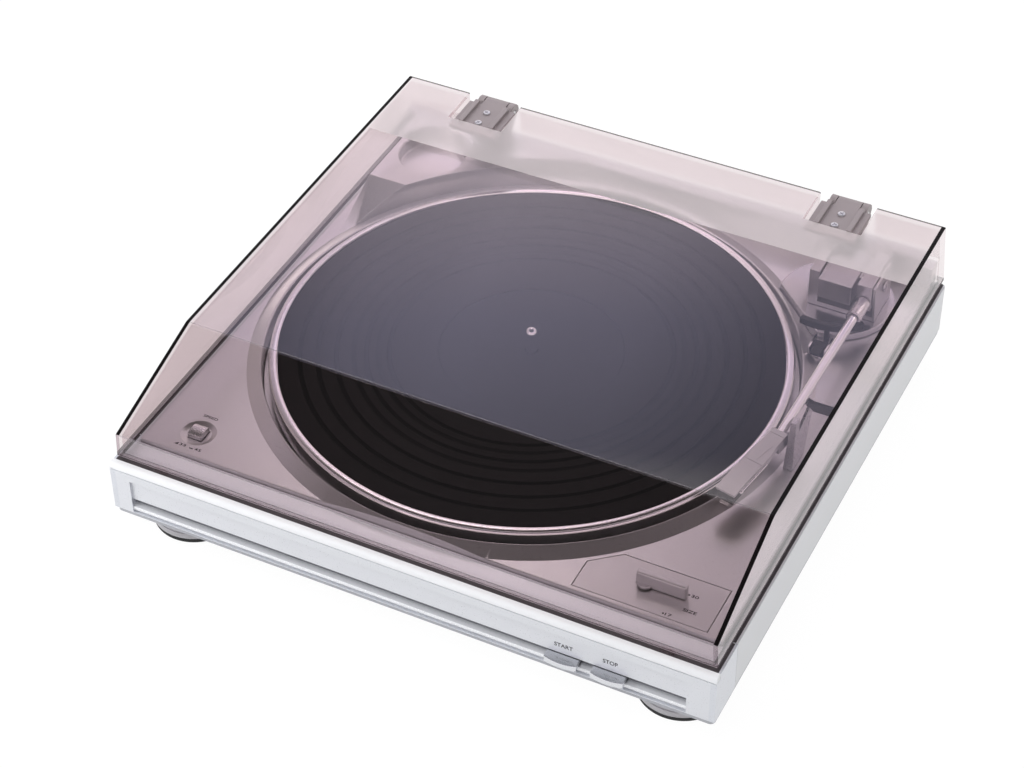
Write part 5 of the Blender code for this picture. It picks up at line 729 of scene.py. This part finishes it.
# Platter mat.
# Black moulded rubber with shallow round channels between its ribs, and a sunk circle for the
# record's label.
mat_top, mat_low, mat_edge, label_edge = 62.0, 59.8, 144.2, 52.8
channel_half, label_half = 1.4, 0.4
channels = ((131.4, 0.6), (121.3, 0.6), (110.7, 0.6), (100.9, 0.3), (93.9, 0.6), (87.0, 0.3), (80.8, 0.6))
mat_line = [(pin_hole, mat_low), (mat_edge, mat_low), (mat_edge - 0.1, mat_top - 0.3), (mat_edge - 0.5, mat_top)]
for channel, deep in channels:
    mat_line += [(channel + channel_half * step / 4, mat_top - deep * (1 - (step / 4) ** 2) ** 0.7)
                 for step in range(4, -5, -1)]
mat_line += [(label_edge + 0.5, mat_top), (label_edge + 0.1, mat_top - 0.15), (label_edge - 0.1, mat_top - 0.55),
             (label_edge - 0.5, mat_top - 0.7), (pin_hole, mat_top - 0.7)]


def mat_tone(middle, normal, old):
    """The channels and the label circle's edge are a deeper black, as painted shade in their hollows."""
    reach = math.hypot(middle.x - hub[0], middle.y - hub[1])
    in_channel = any(abs(reach - channel) < channel_half for channel, deep in channels)
    return int((in_channel or abs(reach - label_edge) < label_half) and middle.z > mat_low + 0.1)


# Painted shade: the channels and the label circle's edge are a deeper black than the ribs.
mat_rubber = coated("mat_rubber", (0.0060, 0.0050, 0.0054), 0.6, 0.0, 0.08, 5000.0, 0.02)
channel_painted_shade = coated("channel_painted_shade", (0.0010, 0.0009, 0.0010), 0.7, 0.0, 0.10, 5000.0, 0.02)
for surface in (mat_rubber, channel_painted_shade):
    surface.node_tree.nodes["Principled BSDF"].inputs["Specular IOR Level"].default_value = 0.10
dress(tone(lathe(mat_line, hub, FINE), mat_tone), "mat_ribbed", "platter", "mat_rubber", (mat_rubber, channel_painted_shade),
      "platter_mat", angle=40.0)


# Spindle.
# Chromed steel pin with a domed top.
chromed = turned_metal("chromed", (0.88, 0.87, 0.88), 0.06, hub, 1800.0, 0.008)
pin_line = [(0.0, 32.0), (3.0, 32.0), (3.0, 38.2), (3.5, 38.2)]
pin_line += [(3.5 * math.cos(math.radians(angle)), 73.5 + 3.5 * math.sin(math.radians(angle)))
             for angle in range(0, 90, 6)] + [(0.0, 77.0)]
dress(lathe(pin_line, hub, 48), "spindle_pin", "platter", "chrome", chromed, "spindle", angle=40.0)


# Tonearm base.
# Round satin disc cut off square to the platter with a slanted dark face. The arm's bearing is
# pressed into it from below.
arm_silver = coated("arm_silver", (0.60, 0.595, 0.60), 0.24, 0.95, 0.03, 1500.0, 0.06)
base = form(prism(arm_outline(0.0), 55.6, 60.0))
carve(base, swung(prism([(23.7, 61.0), (30.2, 61.0), (30.2, 55.6), (26.2, 55.6)], -36.0, 36.0, "y"), arm, 228.0))
soften(base, 0.5, 3, 25.0)
carve(base, drum(9.0, 43.6, 57.0, arm), "UNION")
carve(base, drum(4.3, under, 62.0, arm))
dress(base, "arm_base_disc", "plinth", "arm_grey", arm_silver, "arm_base", angle=25.0)


# Tonearm fork.
# Moulded fork on the arm's shaft: stepped left cheek, thin right plate, and the pivot screws.
fork_paint = coated("fork_paint", (0.58, 0.57, 0.58), 0.32, 0.85, 0.03, 1500.0, 0.08)
bright_steel = turned_metal("bright_steel", (0.66, 0.65, 0.66), 0.25, arm, 1500.0, 0.03)
stand_in("arm_yoke", "arm_fork_moulding", 0.4, 3, "arm_fork", "arm_grey", fork_paint)
for side in ("left", "right"):
    screw = form(eased_copy("pivot_screw_" + side, 0.2))
    low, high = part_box("pivot_screw_" + side)
    outer = (low.x if side == "left" else high.x) / MM
    carve(screw, block((outer - 0.5, outer + 0.5), (arm[1] - 4.0, arm[1] + 4.0), (77.65, 78.35)))
    dress(screw, "pivot_pin_" + side, "arm_fork", "steel", bright_steel, "pivot_screw_" + side)
axle_line = fillet([(0.0, 34.0), (4.0, 34.0, 0.5), (4.0, 60.0, 0.3), (0.0, 60.0)])
dress(lathe(axle_line, arm, 48), "arm_axle", "arm_fork", "steel", bright_steel, "arm_shaft")
stand_in("return_lever", "return_crank", 0.3, 2, "arm_fork", "steel", bright_steel)


# Tonearm housing.
# Satin moulding that swings on the pivot screws: a low box, a slit, and the tall block that holds
# the tube. The box has a sunk panel on its top. The weight that balances the arm is behind it.
tube_back, tube_front = at(149.6, 108.0, 75.5), at(147.8, -21.0, 74.5)


def on_tube(y):
    """The point of the tube's centre line at y."""
    return tube_back.lerp(tube_front, (tube_back.y - y * MM) / (tube_back.y - tube_front.y))


def bar(start, end, radius, facets=64, bend=0.0):
    """A round bar between two points, its ends eased by the bend."""
    reach = (end - start).length / MM
    if bend:
        profile = fillet([(0.0, 0.0), (radius, 0.0, bend), (radius, reach, bend), (0.0, reach)], 3)
    else:
        profile = [(0.0, 0.0), (radius, 0.0), (radius, reach), (0.0, reach)]
    maker = lathe(profile, facets=facets)
    maker.transform(Matrix.Translation(start) @ (end - start).to_track_quat("Z", "Y").to_matrix().to_4x4())
    return maker


housing_paint = coated("housing_paint", (0.54, 0.53, 0.55), 0.30, 0.95, 0.02, 1900.0, 0.08)
housing = form(ease(block((145.0, 154.2), (108.0, 139.7), (70.0, 87.5)), 0.7, 3))
low_box = form(ease(block((121.5, 142.0), (108.0, 139.7), (70.0, 83.5)), 0.7, 3))
carve(low_box, ease(block((122.9, 140.6), (109.4, 138.3), (83.2, 84.0)), 0.15, 1))
carve(housing, low_box, "UNION")
carve(housing, block((141.0, 146.0), (120.0, 138.7), (71.0, 82.5)), "UNION")
carve(housing, bar(on_tube(112.0), on_tube(104.0), 3.1))
carve(housing, bar(on_tube(122.0), on_tube(105.0), 3.0))
for near, far in ((120.0, 124.4), (155.5, 151.3)):
    carve(housing, bar(at(near, arm[1], 78.0), at(far, arm[1], 78.0), 2.1, 32))
dress(housing, "arm_housing_moulding", "tonearm", "arm_grey", housing_paint, "arm_housing", angle=25.0)
weight_steel = turned_metal("weight_steel", (0.50, 0.49, 0.50), 0.32, arm, 1400.0, 0.05)
weight = form(ease(block((123.5, 152.2), (140.0, 151.5), (69.0, 83.0)), 1.5, 4))
for groove in (143.5, 147.5):
    ring = form(block((120.0, 156.0), (groove, groove + 0.5), (60.0, 90.0)))
    carve(ring, block((124.0, 151.7), (142.0, 150.0), (69.5, 82.5)))
    carve(weight, ring)
dress(weight, "balance_weight", "tonearm", "steel", weight_steel, "counterweight", angle=25.0)


# Tube and hood.
# Straight polished tube, pressed into the housing, with a satin chrome hood over its root that is
# open below.
tube_chrome = turned_metal("tube_chrome", (0.90, 0.89, 0.90), 0.07, arm, 1500.0, 0.006)
hood_chrome = turned_metal("hood_chrome", (0.74, 0.72, 0.735), 0.24, arm, 2200.0, 0.05)
tube = form(bar(on_tube(121.7), on_tube(-21.0), 2.8, 96, 0.25))
carve(tube, bar(on_tube(130.0), on_tube(-30.0), 2.1))
dress(tube, "arm_tube_polished", "tonearm", "chrome", tube_chrome, "arm_tube", angle=40.0)
hood_mouth = on_tube(92.7)
hood = form(bar(on_tube(107.7), hood_mouth, 4.5, 96, 0.35))
carve(hood, bar(on_tube(115.0), on_tube(85.0), 3.3, 96))
mouth_x = hood_mouth.x / MM
carve(hood, block((mouth_x - 8.0, mouth_x + 8.0), (85.0, 115.0), (60.0, 73.9)))
dress(hood, "tube_hood", "tonearm", "chrome", hood_chrome, "tube_sleeve", angle=40.0)


# Head shell.
# Light moulded shell, turned in by 12 degrees: a clamp bar on the tube, a neck with a fine ridge, a
# flat top with turned-down cheeks, and a finger rod beside it.
head = (Matrix.Translation(tube_front) @ Matrix.Rotation(math.radians(-12.0), 4, "Z")
        @ Matrix.Rotation(math.radians(6.0), 4, "X"))
shell_paint = coated("shell_paint", (0.70, 0.69, 0.70), 0.33, 0.80, 0.008, 1700.0, 0.001)
shell_top, shell_under, shell_hem = 3.6, 2.0, -0.2
shell = form(prism([(-47.0, shell_under), (-16.5, shell_under), (-16.5, shell_hem), (-3.5, shell_hem), (-3.5, -4.4),
                    (5.5, -4.4), (5.5, shell_top), (-47.0, shell_top)], -6.0, 6.0, "x"))
carve(shell, block((-4.4, 4.4), (-55.0, -3.5), (-6.0, shell_under)))
for side in (-1, 1):
    flank = [(side * across, along) for across, along in ((4.7, 7.0), (4.7, -4.5), (6.1, -14.0), (9.0, -14.0),
                                                          (9.0, 7.0))]
    carve(shell, prism(flank, -6.0, 6.0))
soften(shell, 0.35, 3, 25.0)
carve(shell, block((-6.5, 6.5), (-21.3, -20.9), (3.3, 5.0)))
carve(shell, block((-6.5, 6.5), (1.6, 2.1), (3.25, 5.0)))
carve(shell, prism([(0.9, -19.5), (1.5, -19.5), (3.3, -6.5), (2.8, -6.5)], 3.35, 5.0))
shell.data.transform(head)
carve(shell, bar(on_tube(0.0), on_tube(-21.3), 3.1))
dress(shell, "head_shell_moulding", "tonearm", "arm_grey", shell_paint, "head_shell", angle=25.0)
rod_chrome = turned_metal("rod_chrome", (0.80, 0.79, 0.80), 0.12, arm, 1500.0, 0.01)
rod_end = at(7.05, -42.0, 2.8)
finger = form(bar(at(7.05, -18.0, 2.8), rod_end, 0.7, 24, 0.1))
knob = bmesh.new()
bmesh.ops.create_uvsphere(knob, u_segments=24, v_segments=16, radius=1.3 * MM, matrix=Matrix.Translation(rod_end))
carve(finger, knob, "UNION")
carve(finger, block((4.0, 6.35), (-45.0, -15.0), (0.0, 6.0)))
finger.data.transform(head)
dress(finger, "finger_rod", "tonearm", "chrome", rod_chrome, "finger_lift", angle=40.0)


# Cartridge and stylus.
# Dark cartridge body under the shell, with four pins and thin coloured leads at its back, and a pale
# stylus carrier clipped below its nose.
cartridge_black = coated("cartridge_black", (0.03, 0.029, 0.032), 0.36, 0.0, 0.1, 1400.0, 0.12)
body_view = [(-47.0, 1.7), (-47.0, -4.5), (-38.0, -4.5), (-21.0, -2.7), (-21.0, 1.7)]
body = form(ease(prism(body_view, -4.8, 4.8, "x"), 0.35, 3, 12.0))
for side in (-1, 1):
    flank = sorted((side * 4.05, side * 9.0))
    carve(body, block(flank, (-30.0, 0.0), (-0.6, 3.0)))
    carve(body, block(flank, (-45.0, -32.0), (-1.2, -0.8)))
body.data.transform(head)
dress(body, "cartridge_body", "tonearm", "dark_plastic", cartridge_black, "cartridge", angle=25.0)
pin_gold = turned_metal("pin_gold", (0.75, 0.58, 0.30), 0.25, arm, 1200.0, 0.02)
pins = bmesh.new()
for across in (-2.4, -0.8, 0.8, 2.4):
    pin = form(bar(at(across, -21.2, -0.6), at(across, -18.9, -0.6), 0.35, 12, 0.1))
    pins.from_mesh(pin.data)
    drop(pin)
pins.transform(head)
dress(pins, "cartridge_pins", "tonearm", "brass", pin_gold)
for number, (lead, colour) in enumerate((("white", (0.75, 0.74, 0.72)), ("red", (0.55, 0.03, 0.03)),
                                         ("blue", (0.03, 0.07, 0.40)), ("green", (0.03, 0.28, 0.08)))):
    curve = bpy.data.curves.new("lead", "CURVE")
    curve.dimensions = "3D"
    curve.bevel_depth = 0.32 * MM
    curve.bevel_resolution = 3
    curve.use_fill_caps = True
    path = curve.splines.new("BEZIER")
    across = -2.4 + 1.6 * number
    stops = ((across, -19.6, -0.6), (across * 1.15, -14.5, 0.4 - 0.25 * (number % 2)), (across * 0.55, -8.0, 0.2),
             (across * 0.35, -3.3, -0.4))
    path.bezier_points.add(len(stops) - 1)
    for point, stop in zip(path.bezier_points, stops):
        point.co = head @ at(*stop)
        point.handle_left_type = point.handle_right_type = "AUTO"
    holder = placed("lead", curve)
    wire = mesh_of(holder)
    drop(holder)
    dress(placed("wire", wire), "lead_wire_" + lead, "tonearm", "grey_plastic",
          coated("lead_" + lead, colour, 0.45, 0.0, 0.05, 900.0, 0.1))
carrier_pale = coated("carrier_pale", (0.62, 0.60, 0.60), 0.35, 0.0, 0.03, 1200.0, 0.05)
carrier_view = [(-48.6, -4.8), (-47.75, -6.5), (-39.6, -5.65), (-39.6, -4.8)]
carrier = ease(prism(carrier_view, -2.7, 2.7, "x"), 0.25, 3, 12.0)
carrier.transform(head)
dress(carrier, "stylus_carrier", "tonearm", "stylus_plastic", carrier_pale, "stylus", angle=25.0)


# Arm rest.
# Moulded post with a tapered face, the web that guides the tube on to it, and a shelf below the tube.
rest_paint = coated("rest_paint", (0.60, 0.59, 0.60), 0.28, 0.93, 0.03, 1600.0, 0.08)
stand_in("arm_rest", "arm_rest_moulding", 0.4, 3, "plinth", "arm_grey", rest_paint)


# Cueing lift.
# Black curved bar with a notched top, all in one dark finish, on a plunger through the deck. A bent
# chromed bracket carries the lever that raises it.
lift_black = coated("lift_black", (0.018, 0.018, 0.02), 0.45, 0.0, 0.1, 1300.0, 0.15)
low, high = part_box("lift_bar")
bar_low, bar_top = low.z / MM, high.z / MM


def about_arm(radius, degrees):
    return arm[0] + radius * math.cos(math.radians(degrees)), arm[1] + radius * math.sin(math.radians(degrees))


bar_outline = [about_arm(radius, first + (last - first) * step / 64) for radius, first, last in (
    (37.7, -104.0, -45.0), (34.3, -45.0, -104.0)) for step in range(65)]
lift = form(ease(prism(bar_outline, bar_top - 4.6, bar_top), 0.5, 3))
carve(lift, drum(1.6, bar_low, bar_top - 1.0, about_arm(36.0, -78.0), 32), "UNION")
for number in range(15):
    notch = block((34.0, 38.0), (-0.15, 0.15), (bar_top - 0.2, bar_top + 1.0))
    carve(lift, swung(notch, arm, -102.0 + 55.0 * number / 14))
dress(lift, "lift_arc", "lift", "dark_plastic", lift_black, "lift_bar", angle=25.0)
bracket_chrome = turned_metal("bracket_chrome", (0.84, 0.83, 0.84), 0.14, arm, 1500.0, 0.02)
stand_in("lift_cradle", "lift_bracket", 0.35, 3, "plinth", "chrome", bracket_chrome)
stand_in("cue_lever", "cueing_tab", 0.3, 3, "cue", "dark_plastic", lift_black)


# Size lever.
# Upright fin on a round foot, in the deck's satin finish. It points to 30 or 17.
lever_paint = coated("lever_paint", (0.66, 0.65, 0.66), 0.30, 0.8, 0.02, 1700.0, 0.05)
lever = form(lathe(fillet([(0.0, 48.3), (2.2, 48.3), (2.2, 55.6), (4.5, 55.6, 0.3), (4.5, 57.8, 0.7), (0.0, 57.8)], 4),
                   size_pivot, 64))
carve(lever, ease(block((117.0, 145.0), (-133.6, -129.2), (55.6, 64.4)), 0.9, 4), "UNION")
dress(lever, "size_fin", "size_selector", "grey_plastic", lever_paint, "size_lever")


# Speed key.
# Small square key with a sloped crown, which latches down for 45.
speed_silver = coated("speed_silver", (0.68, 0.67, 0.68), 0.26, 0.85, 0.02, 1700.0, 0.05)
stand_in("speed_button", "speed_key_cap", 0.35, 3, "speed_key", "key_silver", speed_silver)


# Dust cover.
# One smoke-tinted clear moulding with a sloped front, 2.4 mm thick, its corners eased by the mould.
# Seen edge-on its walls are nearly black: that dark is painted shade on the walls' upper edges, the
# top's rear edge, the corners of the front and a band along the foot, where the gap below is in
# shadow. The fold and the kink carry a grey painted line of glint and shade. The rear band of the top
# is etched matt, and the back corners are notched for the hinges.
def clear_plastic(name, tint, mirror=0.05):
    """Tinted clear plastic: each face passes its share of the light and mirrors the rest at a glance."""
    material, tree, shader = new_material(name)
    haze = noise(tree, 22.0, 4.0)
    gloss = add(tree, "MapRange", {"Value": haze, "To Min": 0.015, "To Max": 0.045})
    feed(tree, shader, {"Metallic": 1.0, "Base Color": (0.97, 0.96, 0.97, 1.0), "Roughness": gloss})
    through = add(tree, "BsdfTransparent", {"Color": ramp(tree, haze, (0.3, tinted(tint, 0.995)), (0.7, tint))})
    glance = add(tree, "LayerWeight", {"Blend": 0.5})
    power = add(tree, "Math", {0: glance.outputs["Facing"], 1: 5.0}, operation="POWER")
    share = add(tree, "MapRange", {"Value": power, "To Min": mirror, "To Max": 1.0})
    show(tree, add(tree, "MixShader", {0: share, 1: through, 2: shader}))
    return material


def edge_plastic(name, colour, passing, roughness=0.1):
    """Plastic with a glossy skin that passes a share of the light. On the cover's edges its colour is painted shade
    and painted glint.
    """
    material = coated(name, colour, roughness, 0.0, 0.05, 700.0, 0.02)
    tree = material.node_tree
    through = add(tree, "BsdfTransparent", {"Color": (0.90, 0.85, 0.86, 1.0)})
    show(tree, add(tree, "MixShader", {0: passing, 1: tree.nodes["Principled BSDF"], 2: through}))
    return material


def etched_plastic(name, colour, roughness, milk):
    """Matt etched face of the clear plastic: it blurs what lies behind, and scatters some light back."""
    material, tree, shader = new_material(name)
    grain = noise(tree, 900.0, 3.0)
    gloss = add(tree, "MapRange", {"Value": grain, "To Min": roughness * 0.9, "To Max": roughness * 1.1})
    feed(tree, shader, {"Transmission Weight": 1.0, "IOR": 1.12, "Roughness": gloss,
                        "Base Color": ramp(tree, grain, (0.3, tinted(colour, 0.97)), (0.7, colour))})
    milky = add(tree, "BsdfDiffuse", {"Color": (0.80, 0.733, 0.742, 1.0)})
    clouded = add(tree, "MixShader", {0: milk, 1: shader, 2: milky})
    through = add(tree, "BsdfTransparent", {"Color": (0.82, 0.74, 0.77, 1.0)})
    shadow = add(tree, "LightPath").outputs["Is Shadow Ray"]
    show(tree, add(tree, "MixShader", {0: shadow, 1: clouded, 2: through}))
    return material


wall = 2.4
cover_half, cover_foot, cover_lean = 178.0, 54.9, 2.3 / 40.4
fold_z, kink_y, frost_y, top_low = 70.8, -94.0, 110.2, 94.0
foot_line_z, front_line_z, side_line_z = 55.9, 56.5, 57.5
kink_reach, fold_front, fold_low, back_reach, corner_front = 2.0, -166.5, 69.0, 1.2, -167.0
hard_angle = 12.0
CLEAR, EDGE, CORNER, GLINT, FROST, BAND, FOOT = range(7)
# The edge, corner, band and foot surfaces are painted shade for the walls seen edge-on and the gap under the foot. The
# glint surface is a grey painted line of glint and shade on the fold and kink.
cover_surfaces = (clear_plastic("cover_clear", (0.918, 0.874, 0.880)),
                  edge_plastic("cover_edge_painted_shade", (0.004, 0.003, 0.003), 0.008, 0.3),
                  clear_plastic("cover_corner_painted_shade", (0.62, 0.55, 0.58), 0.07),
                  edge_plastic("cover_painted_glint", (0.34, 0.31, 0.33), 0.62, 0.15),
                  etched_plastic("cover_frost", (0.93, 0.865, 0.865), 0.42, 0.48),
                  edge_plastic("cover_band_painted_shade", (0.016, 0.012, 0.013), 0.32),
                  edge_plastic("cover_foot_painted_shade", (0.30, 0.25, 0.27), 0.5, 0.3))
for place in (EDGE, BAND):
    shader = cover_surfaces[place].node_tree.nodes["Principled BSDF"]
    shader.inputs["Specular IOR Level"].default_value = 0.06
maker = weld(maker_of(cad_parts["dust_cover"].data))
back_y = max(vertex.co.y for vertex in maker.verts if vertex.co.z > top_low * MM) / MM
back_strip = back_y - 1.5


def at_kink(edge):
    return all(vertex.co.z > 90.0 * MM and abs(vertex.co.y - kink_y * MM) < 3.0 * MM for vertex in edge.verts)


def cover_tone(middle, normal, old):
    """Clear; painted shade on upper edges, front corners, foot and rear edge; painted glint on fold and kink; etched
    at the top's back.
    """
    at_side = cover_half - cover_lean * (middle.z - cover_foot) - abs(middle.x) < wall
    upward = normal.z > 0.5 and middle.z > fold_z
    on_top = middle.z > top_low
    if middle.z < foot_line_z and abs(normal.x) < 0.5:
        return FOOT
    if middle.z < (side_line_z if abs(normal.x) > 0.5 else front_line_z):
        return BAND
    if upward and at_side:
        return EDGE
    if upward and middle.y > back_strip:
        return BAND
    if at_side and normal.y < -0.5 and middle.y < corner_front:
        return CORNER
    if old == GLINT:
        kink = abs(middle.y - kink_y) < kink_reach and on_top
        fold = middle.y < fold_front and middle.z > fold_low
        return GLINT if kink or fold else EDGE if middle.y > back_y - back_reach and on_top else CLEAR
    return FROST if normal.z > 0.9 and on_top and middle.y > frost_y else CLEAR


for face in maker.faces:
    face.material_index = CLEAR
bevel(maker, [edge for edge in hard_edges(maker, hard_angle) if not at_kink(edge)], 0.6, 3, material=GLINT)
bevel(maker, [edge for edge in hard_edges(maker, hard_angle) if at_kink(edge)], 0.3, 2, material=GLINT)
score(maker, [((side * (cover_half - wall), 0.0, cover_foot), Vector((side, 0.0, cover_lean)).normalized())
              for side in (-1.0, 1.0)])
score(maker, [((0.0, y, 0.0), (0.0, 1.0, 0.0)) for y in (frost_y, back_strip)])
score(maker, [((0.0, 0.0, z), (0.0, 0.0, 1.0)) for z in (foot_line_z, front_line_z, side_line_z)])
dress(tone(maker, cover_tone), "dust_cover_moulding", "cover", "clear_plastic", cover_surfaces, "dust_cover",
      angle=20.0)


# Cover hinges and stops.
# Grey moulded hinges: a ribbed leaf screwed below the notch, a bracket on the rear ledge and a steel
# pin. Two soft clear stops keep the cover's front off the plinth.
hinge_grey = coated("hinge_grey", (0.32, 0.275, 0.28), 0.42, 0.3, 0.04, 1500.0, 0.12)
pin_steel = turned_metal("pin_steel", (0.62, 0.61, 0.62), 0.28, arm, 1500.0, 0.02)
stop_clear = edge_plastic("stop_clear", (0.66, 0.64, 0.65), 0.97, 0.2)
leaf_screws = []
for side in ("left", "right"):
    stand_in("hinge_leaf_" + side, "leaf_" + side, 0.35, 2, "cover", "hinge_plastic", hinge_grey)
    stand_in("hinge_bracket_" + side, "bracket_" + side, 0.3, 2, "plinth", "hinge_plastic", hinge_grey)
    stand_in("hinge_pin_" + side, "pivot_" + side, 0.2, 1, "plinth", "steel", pin_steel)
    stand_in("cover_bumper_" + side, "stop_" + side, 0.3, 2, "plinth", "rubber", stop_clear)
    low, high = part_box("hinge_leaf_" + side)
    leaf_screws += [((low.x + high.x) / 2 / MM, y, 92.6) for y in (146.5, 158.0)]
dress(spread(screw_item(2.3, 1.0), leaf_screws, (0.0, 0.0, 0.0), pin_steel, 3), "leaf_screws", "cover", "steel", ())


# Works.
# What the deck and the bottom cover hide: gears in white acetal, brass bearing and pulley, pressed
# steel plate and levers, the motor, the flat belt and the circuit board.
rolled = (300.0, 200.0)
works = {
    "hub_gear": coated("acetal_hub", (0.72, 0.71, 0.68), 0.4, 0.0, 0.03, 900.0, 0.05),
    "cam_gear": coated("acetal_cam", (0.74, 0.73, 0.70), 0.42, 0.0, 0.03, 900.0, 0.05),
    "sub_chassis": turned_metal("pressed_plate", (0.58, 0.58, 0.56), 0.4, rolled, 300.0, 0.1),
    "spindle_bearing": turned_metal("bearing_brass", (0.72, 0.56, 0.30), 0.25, hub),
    "main_lever": turned_metal("lever_steel", (0.60, 0.60, 0.58), 0.35, rolled, 300.0, 0.1),
    "drive_motor": turned_metal("motor_can", (0.55, 0.55, 0.57), 0.3, motor),
    "motor_pulley": turned_metal("pulley_brass", (0.74, 0.58, 0.31), 0.2, motor),
    "drive_belt": coated("belt_rubber", (0.014, 0.014, 0.015), 0.6, 0.0, 0.1, 800.0, 0.2),
    "circuit_board": coated("board_lacquer", (0.035, 0.16, 0.07), 0.35, 0.0, 0.25, 260.0, 0.3),
}
for node, surface in works.items():
    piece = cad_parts[node]
    piece.data.materials.clear()
    piece.data.materials.append(surface)
